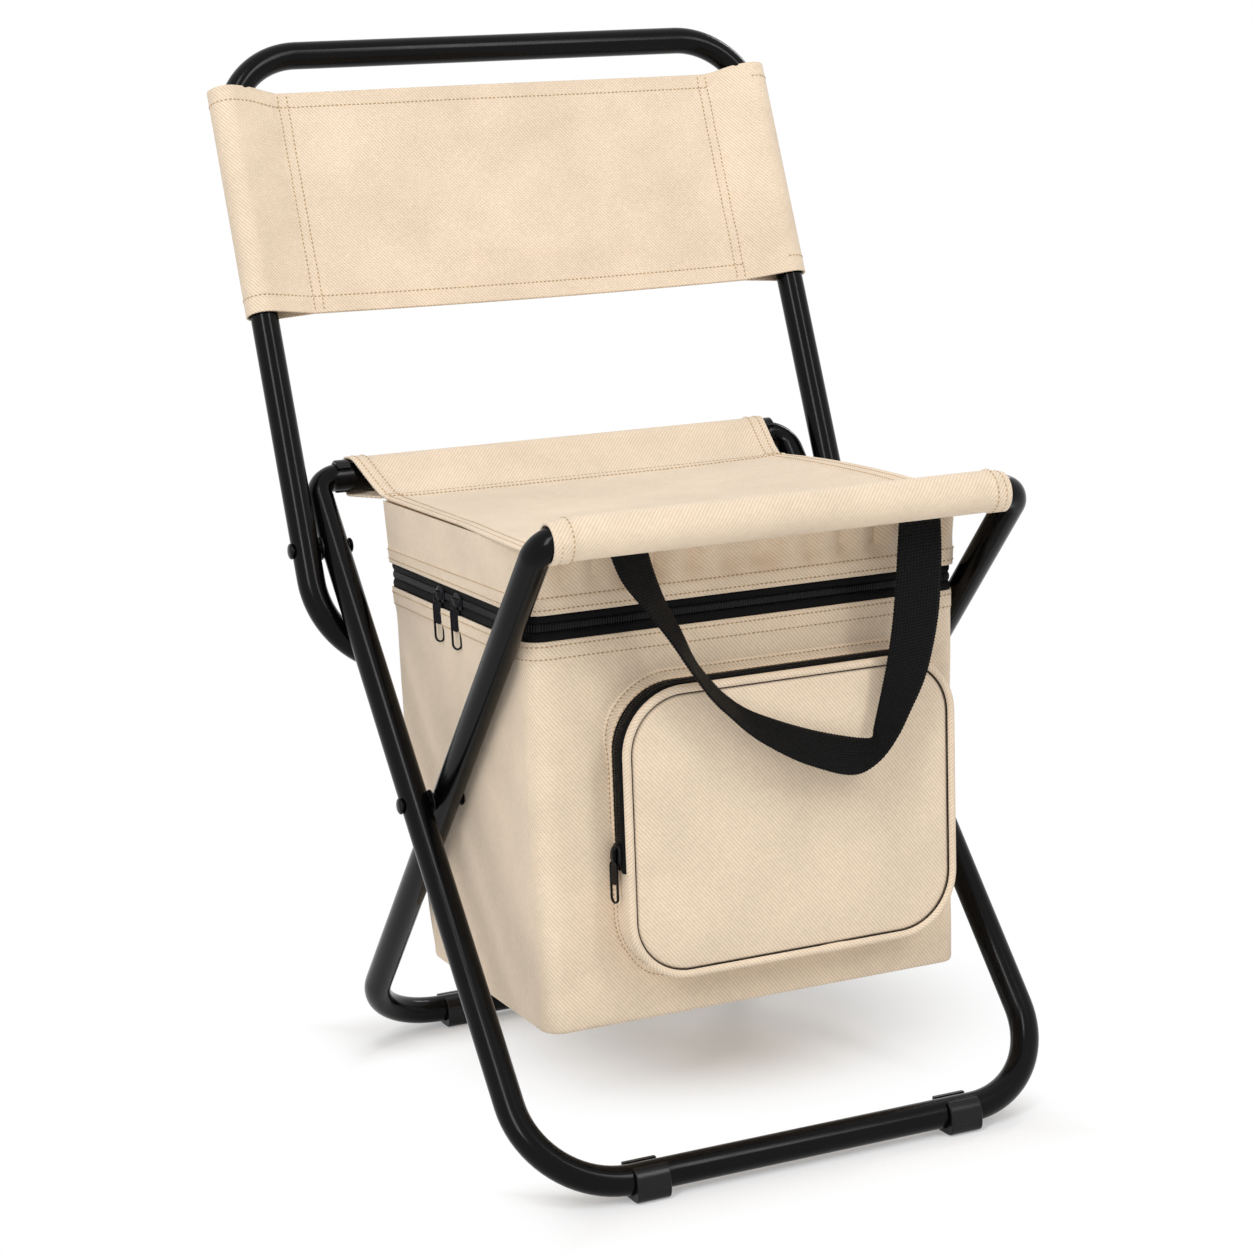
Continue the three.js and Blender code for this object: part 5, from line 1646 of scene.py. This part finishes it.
SLIDER_HEIGHT = 0.7  # of a slider's own height, so that its pull hangs near its hinge


def in_axes(part, origin, x_axis, y_axis, z_axis):
    return copies(part, np.array([origin]), np.array([[x_axis, y_axis, z_axis]], float))


# Each slider's node, its pull's node, their bodies, and the joint that the pull swings by.
SLIDERS = (
    ("zipper_slider_rear", "zipper_pull_rear", "rear_slider", "rear_pull", "rear_pull_swing"),
    ("zipper_slider_front", "zipper_pull_front", "front_slider", "front_pull", "front_pull_swing"),
    ("pocket_slider", "pocket_pull", "pocket_slider_body", "pocket_pull_body", "pocket_pull_swing"),
)


class STOOL_OT_sliders(bpy.types.Operator):
    """Makes the three zipper sliders and their pulls"""

    bl_idname = "stool.sliders"
    bl_label = "Sliders and pulls"

    def execute(self, context):
        left = -X_AXIS
        for slider_node, pull_node, slider_body, pull_body, swing in SLIDERS:
            pivot = np.array(JOINTS[swing]["pos_m"], float)
            on_pocket = slider_node == "pocket_slider"
            run = POCKET_UP if on_pocket else np.array([0, 1.0, 0])
            surface = POCKET["left"] - 1.1 * MM if on_pocket else -BAG_HALF + 1.2 * MM
            origin = np.array([surface, pivot[1], pivot[2]])
            body_part = in_axes(slider_part(), origin, run, np.cross(left, run), left * SLIDER_HEIGHT)
            hang = POCKET_UP if on_pocket else UP
            # The pulls hang a little turned, towards the front.
            turn = math.radians(12 if on_pocket else 34)
            face = unit(left * math.cos(turn) + np.cross(hang, left) * math.sin(turn))
            eye = origin + left * 3.9 * MM * SLIDER_HEIGHT
            if not on_pocket:
                body_part = raised(body_part)
                eye = raised((eye[None], [], []))[0][0]
            body = make_piece("glossy_" + slider_node, outward(body_part), "metal")
            pull_piece = in_axes(pull_part(), eye, np.cross(hang, face), hang, face)
            pull = make_piece("glossy_" + pull_node, outward(pull_piece), "metal")
            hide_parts(slider_node)
            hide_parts(pull_node)
            squash_bag(body, slider_body)
            squash_bag(pull, pull_body)
        return {"FINISHED"}


# Carry handle


# Both edges of the webbing as it hangs, from its left end to its right: x, height and how far it stands
# forward of the plane it hangs in, for the outer edge and then the inner.
HANDLE_EDGES = np.array([
    (-91, 336, 3, -68, 336, -2), (-85, 319, 4, -63, 320, -4), (-74, 303, 6, -57, 305, -6),
    (-62, 286, 8, -49, 289, -7), (-52, 269, 11, -42, 273, -8), (-43, 255, 13, -35, 262, -6),
    (-33, 244, 14, -27, 252.5, -4), (-19, 231, 14, -16, 244, -1), (1, 218, 14, 2, 235.5, 0),
    (18, 210, 13, 20, 228.5, 0), (32, 205, 12, 36, 223.5, 0), (43, 204.5, 11, 48, 220.5, 0),
    (55, 210, 10, 54.3, 220, 0), (66, 220, 8, 55.5, 224, 0), (75, 232, 6, 57.5, 231, 0),
    (85, 247, 4, 61, 243, 0), (91, 262, 3, 65, 258, 0), (96, 280, 2, 69, 277, 0),
    (99, 300, 1, 72, 298, 0), (100, 318, 1, 74, 317, 0), (100.5, 336, 0, 76, 336, 0),
]) * MM
HANDLE_PLANE = -140 * MM  # from CENTRE_Y
SCALLOP = 0.014  # of the handle's width that its ribs stand out by
RIB_LIFT = 0.16  # of its thickness


def smooth_through(points, steps):
    """A curve through every point: between two of them it is a cubic whose slopes at both are half the step
    from the point before to the point after."""
    before = np.concatenate([points[:1], points[:-2]])
    after = np.concatenate([points[2:], points[-1:]])
    start, end = points[:-1], points[1:]
    slope_start, slope_end = (end - before) / 2, (after - start) / 2
    t = (np.arange(steps) / steps)[None, :, None]
    start, end, slope_start, slope_end = [a[:, None] for a in (start, end, slope_start, slope_end)]
    curve = (
        (2 * t**3 - 3 * t**2 + 1) * start
        + (t**3 - 2 * t**2 + t) * slope_start
        + (3 * t**2 - 2 * t**3) * end
        + (t**3 - t**2) * slope_end
    )
    return np.concatenate([curve.reshape(-1, points.shape[1]), points[-1:]])


class STOOL_OT_handle(bpy.types.Operator):
    """Makes the carry handle of ribbed webbing"""

    bl_idname = "stool.handle"
    bl_label = "Carry handle"

    def execute(self, context):
        sizes = context.scene.stool_sizes
        edges = smooth_through(HANDLE_EDGES, 56)
        plane = CENTRE_Y + HANDLE_PLANE
        outer = np.stack([edges[:, 0], plane - edges[:, 2], edges[:, 1]], -1)
        inner = np.stack([edges[:, 3], plane - edges[:, 5], edges[:, 4]], -1)
        middle = (outer + inner) / 2
        # The weft's cords round the edges into small scallops and lift the faces.
        rib = np.cos(arc_lengths(middle) / sizes.webbing_rib * 2 * np.pi)
        across = (outer - inner) / 2 * (1 + SCALLOP * rib[:, None])
        tangent = unit(np.gradient(middle, axis=0))
        out = unit(np.cross(across, tangent))
        t = np.linspace(-1, 1, 17)
        half_thick = 0.8 * MM * np.clip(1 - np.abs(t) ** 10, 0, 1) ** 0.5
        place = np.concatenate([t, t[::-1][1:-1]])
        depth = np.concatenate([half_thick, -half_thick[::-1][1:-1]])
        height = depth * (1 + RIB_LIFT * rib[:, None])
        rings = middle[:, None] + place[None, :, None] * across[:, None] + height[..., None] * out[:, None]
        points, faces, uvs = tube(rings)
        v = looped(place) * sizes.webbing_width / 2
        uv = np.stack(np.meshgrid(arc_lengths(middle), v, indexing="ij"), -1)
        uvs[0] = grid(rings, uv, wrap_v=True)[2][0]
        piece = make_piece("webbing_handle", outward((points, faces, uvs)), "webbing", crease=60)
        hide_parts("carry_handle")
        squash_bag(piece, "handle")
        return {"FINISHED"}


# Stage


# The camera that was fitted to the photograph, a square picture.
PICTURE_PIXELS = 1254
FOCAL_PIXELS = 2792
SENSOR = 36.0
CAMERA_PLACE = (-0.6264, -1.42846, 0.5322)
CAMERA_YAW, CAMERA_PITCH, CAMERA_ROLL = math.radians(23.29), math.radians(9.77), math.radians(-3.19)
LAMPS_AIM = np.array([0, 0, 0.3])  # the middle of the stool
LAMPS = (
    # Name, place, width and height, and power in watts.
    ("softbox above", (-0.6, -0.8, 2.25), (0.4, 0.55), 7),
    ("strip on the left", (-1.75, -1.55, 1.85), (0.45, 1.5), 25.5),
    ("strip on the right", (0.95, -2.0, 1.85), (0.35, 1.2), 14),
    ("strip behind", (1.5, 0.9, 1.5), (0.15, 0.8), 6),
)


def area_light(name, location, size, power):
    lamp = bpy.data.lights.new(name, "AREA")
    lamp.shape = "RECTANGLE"
    lamp.size, lamp.size_y = size
    lamp.energy = power
    holder = bpy.data.objects.new(name, lamp)
    holder.location = location
    holder.rotation_mode = "QUATERNION"
    axes = axes_looking(LAMPS_AIM - np.array(location))
    holder.rotation_quaternion = Matrix(np.stack(axes, 1).tolist()).to_quaternion()
    bpy.context.scene.collection.objects.link(holder)


def axes_looking(direction):
    """X, Y and Z axes of something whose -Z looks along a direction, with Y as near up as it can be."""
    z = -unit(direction)
    x = unit(np.cross(UP, z))
    return [x, np.cross(z, x), z]


class STOOL_OT_stage(bpy.types.Operator):
    """Makes the floor, the soft lights, the white surround and the camera"""

    bl_idname = "stool.stage"
    bl_label = "Stage"

    def execute(self, context):
        scene = context.scene
        scene.view_settings.view_transform = "Standard"
        axis = np.array([-12.0, 12.0])
        corners = np.stack(np.meshgrid(axis, axis, indexing="ij"), -1)
        points = np.concatenate([corners, np.zeros((2, 2, 1))], -1)
        mesh = bpy.data.meshes.new("floor")
        faces = grid(points, corners)[1][0]
        mesh.from_pydata(points.reshape(-1, 3).tolist(), [], faces.tolist())
        floor = bpy.data.objects.new("floor", mesh)
        scene.collection.objects.link(floor)
        mesh.materials.append(studio_floor())
        surround()

        for lamp in LAMPS:
            area_light(*lamp)

        right = np.array([math.cos(CAMERA_YAW), -math.sin(CAMERA_YAW), 0])
        level = np.array([math.sin(CAMERA_YAW), math.cos(CAMERA_YAW), 0])
        view = level * math.cos(CAMERA_PITCH) - UP * math.sin(CAMERA_PITCH)
        up = np.cross(right, view)
        x_axis = math.cos(CAMERA_ROLL) * right + math.sin(CAMERA_ROLL) * up
        y_axis = -math.sin(CAMERA_ROLL) * right + math.cos(CAMERA_ROLL) * up
        camera_data = bpy.data.cameras.new("camera")
        camera_data.sensor_width = SENSOR
        camera_data.lens = FOCAL_PIXELS / PICTURE_PIXELS * SENSOR
        camera_data.clip_end = 100
        camera = bpy.data.objects.new("camera", camera_data)
        scene.collection.objects.link(camera)
        place = np.eye(4)
        place[:3, :3] = np.stack([x_axis, y_axis, -view], 1)
        place[:3, 3] = CAMERA_PLACE
        camera.matrix_world = Matrix(place.tolist())
        scene.camera = camera
        return {"FINISHED"}


def seen_directly(tree):
    """1 for rays from the camera, and for those that gloss or glass sends on."""
    rays = add_node(tree, "ShaderNodeLightPath").node.outputs
    links = {0: rays["Is Camera Ray"], 1: rays["Is Glossy Ray"]}
    seen = add_node(tree, "ShaderNodeMath", links, operation="MAXIMUM")
    return add_node(tree, "ShaderNodeMath", {0: seen, 1: rays["Is Transmission Ray"]}, operation="MAXIMUM")


def white_share(tree, distance, near, far, least):
    """Rises smoothly from its least value at one distance to 1 at another."""
    links = {"Value": distance, "From Min": near, "From Max": far, "To Min": least, "To Max": 1.0}
    return add_node(tree, "ShaderNodeMapRange", links, interpolation_type="SMOOTHSTEP")


SHADOW_MIDDLE = (0.07, 0.085, 0.0)  # of the bag's shadow
FOOT_BARS = [along(loop, loop["low"])[1] for loop in (OUTER, INNER)]
FOOT_BAR_HALF = 0.11  # of the length of a foot bar whose shadow is seen


def studio_floor():
    """Matt white studio paper. The camera sees the paper itself, with its shadows, under the bag and beside
    the foot bars. Farther out it sees more of a plain white, so that the floor runs into the backdrop."""
    finish, tree, shader = new_finish("white paper")
    at = add_node(tree, "ShaderNodeTexCoord", out="Object")
    grain = add_node(tree, "ShaderNodeTexNoise", {"Vector": at, "Scale": 40.0, "Detail": 3.0})
    stops = (0.0, opaque(linear("#F4F4F4"))), (1.0, opaque(linear("#F8F8F8")))
    tone = add_node(tree, "ShaderNodeValToRGB", {"Fac": grain}, stops=stops)
    plug(tree, shader, {"Base Color": tone, "Roughness": 0.9, "Specular IOR Level": 0.0})
    links = {0: at, 1: SHADOW_MIDDLE}
    from_shadow = add_node(tree, "ShaderNodeVectorMath", links, "Value", operation="DISTANCE")
    share = white_share(tree, from_shadow, 0.05, 0.2, 0.0)
    place = add_node(tree, "ShaderNodeSeparateXYZ", {"Vector": at}).node.outputs
    sideways = add_node(tree, "ShaderNodeMath", {0: place["X"]}, operation="ABSOLUTE")
    past_end = add_node(tree, "ShaderNodeMath", {0: sideways, 1: FOOT_BAR_HALF}, operation="SUBTRACT")
    for bar in FOOT_BARS:
        from_bar = add_node(tree, "ShaderNodeMath", {0: place["Y"], 1: bar}, operation="SUBTRACT")
        away = add_node(tree, "ShaderNodeMath", {0: from_bar}, operation="ABSOLUTE")
        outside = add_node(tree, "ShaderNodeMath", {0: away, 1: past_end}, operation="MAXIMUM")
        beside = white_share(tree, outside, 0.012, 0.055, 0.3)
        share = add_node(tree, "ShaderNodeMath", {0: share, 1: beside}, operation="MULTIPLY")
    share = add_node(tree, "ShaderNodeMath", {0: seen_directly(tree), 1: share}, operation="MULTIPLY")
    glow = add_node(tree, "ShaderNodeEmission", {"Color": (1, 1, 1, 1), "Strength": 1.0})
    mix = add_node(tree, "ShaderNodeMixShader", {0: share, 1: shader.outputs["BSDF"], 2: glow})
    output = next(node for node in tree.nodes if node.bl_idname == "ShaderNodeOutputMaterial")
    plug(tree, output, {"Surface": mix})
    return finish


def surround():
    """The world: white where it is seen. Where it lights the stool it is soft light, brightest from above:
    its level goes in a line with the height of the direction that it comes from, down to the horizon."""
    world = bpy.data.worlds.new("studio")
    bpy.context.scene.world = world
    world.use_nodes = True
    tree = world.node_tree
    tree.nodes.clear()
    towards = add_node(tree, "ShaderNodeTexCoord", out="Generated")
    height = add_node(tree, "ShaderNodeSeparateXYZ", {"Vector": towards}, "Z")
    links = {"Value": height, "From Min": 0.0, "From Max": 1.0, "To Min": 0.42, "To Max": 0.66}
    overhead = add_node(tree, "ShaderNodeMapRange", links)
    level = add_node(tree, "ShaderNodeMix", {0: seen_directly(tree), 2: overhead, 3: 1.0}, data_type="FLOAT")
    background = add_node(tree, "ShaderNodeBackground", {"Color": (1, 1, 1, 1), "Strength": level})
    output = tree.nodes.new("ShaderNodeOutputWorld")
    plug(tree, output, {"Surface": background})


# Panel and registration


class STOOL_PT_panel(bpy.types.Panel):
    """Sizes, colours and pieces of the folding cooler stool"""

    bl_idname = "STOOL_PT_panel"
    bl_label = "Folding Cooler Stool"
    bl_space_type = "VIEW_3D"
    bl_region_type = "UI"
    bl_category = "Stool"

    def draw(self, context):
        layout = self.layout
        for group in (context.scene.stool_sizes, context.scene.stool_colours):
            column = layout.column(align=True)
            for key in group.__annotations__:
                column.prop(group, key)
        column = layout.column(align=True)
        for operator in PIECE_OPERATORS:
            column.operator(operator.bl_idname)


PIECE_OPERATORS = (
    STOOL_OT_stage,
    STOOL_OT_frames,
    STOOL_OT_clips,
    STOOL_OT_pivots,
    STOOL_OT_seat,
    STOOL_OT_backrest,
    STOOL_OT_bag,
    STOOL_OT_liner,
    STOOL_OT_zipper,
    STOOL_OT_pocket,
    STOOL_OT_sliders,
    STOOL_OT_handle,
)
CLASSES = (StoolSizes, StoolColours, *PIECE_OPERATORS, STOOL_PT_panel)


def register():
    for cls in CLASSES:
        bpy.utils.register_class(cls)
    bpy.types.Scene.stool_sizes = bpy.props.PointerProperty(type=StoolSizes)
    bpy.types.Scene.stool_colours = bpy.props.PointerProperty(type=StoolColours)


def unregister():
    del bpy.types.Scene.stool_colours
    del bpy.types.Scene.stool_sizes
    for cls in reversed(CLASSES):
        bpy.utils.unregister_class(cls)


def main():
    register()
    scene = bpy.context.scene
    make_finishes(scene.stool_sizes, scene.stool_colours)
    bpy.ops.stool.stage()
    bpy.ops.stool.frames()
    bpy.ops.stool.clips()
    bpy.ops.stool.pivots()
    bpy.ops.stool.seat()
    bpy.ops.stool.backrest()
    bpy.ops.stool.bag()
    bpy.ops.stool.liner()
    bpy.ops.stool.zipper()
    bpy.ops.stool.pocket()
    bpy.ops.stool.sliders()
    bpy.ops.stool.handle()


if __name__ == "__main__":
    main()
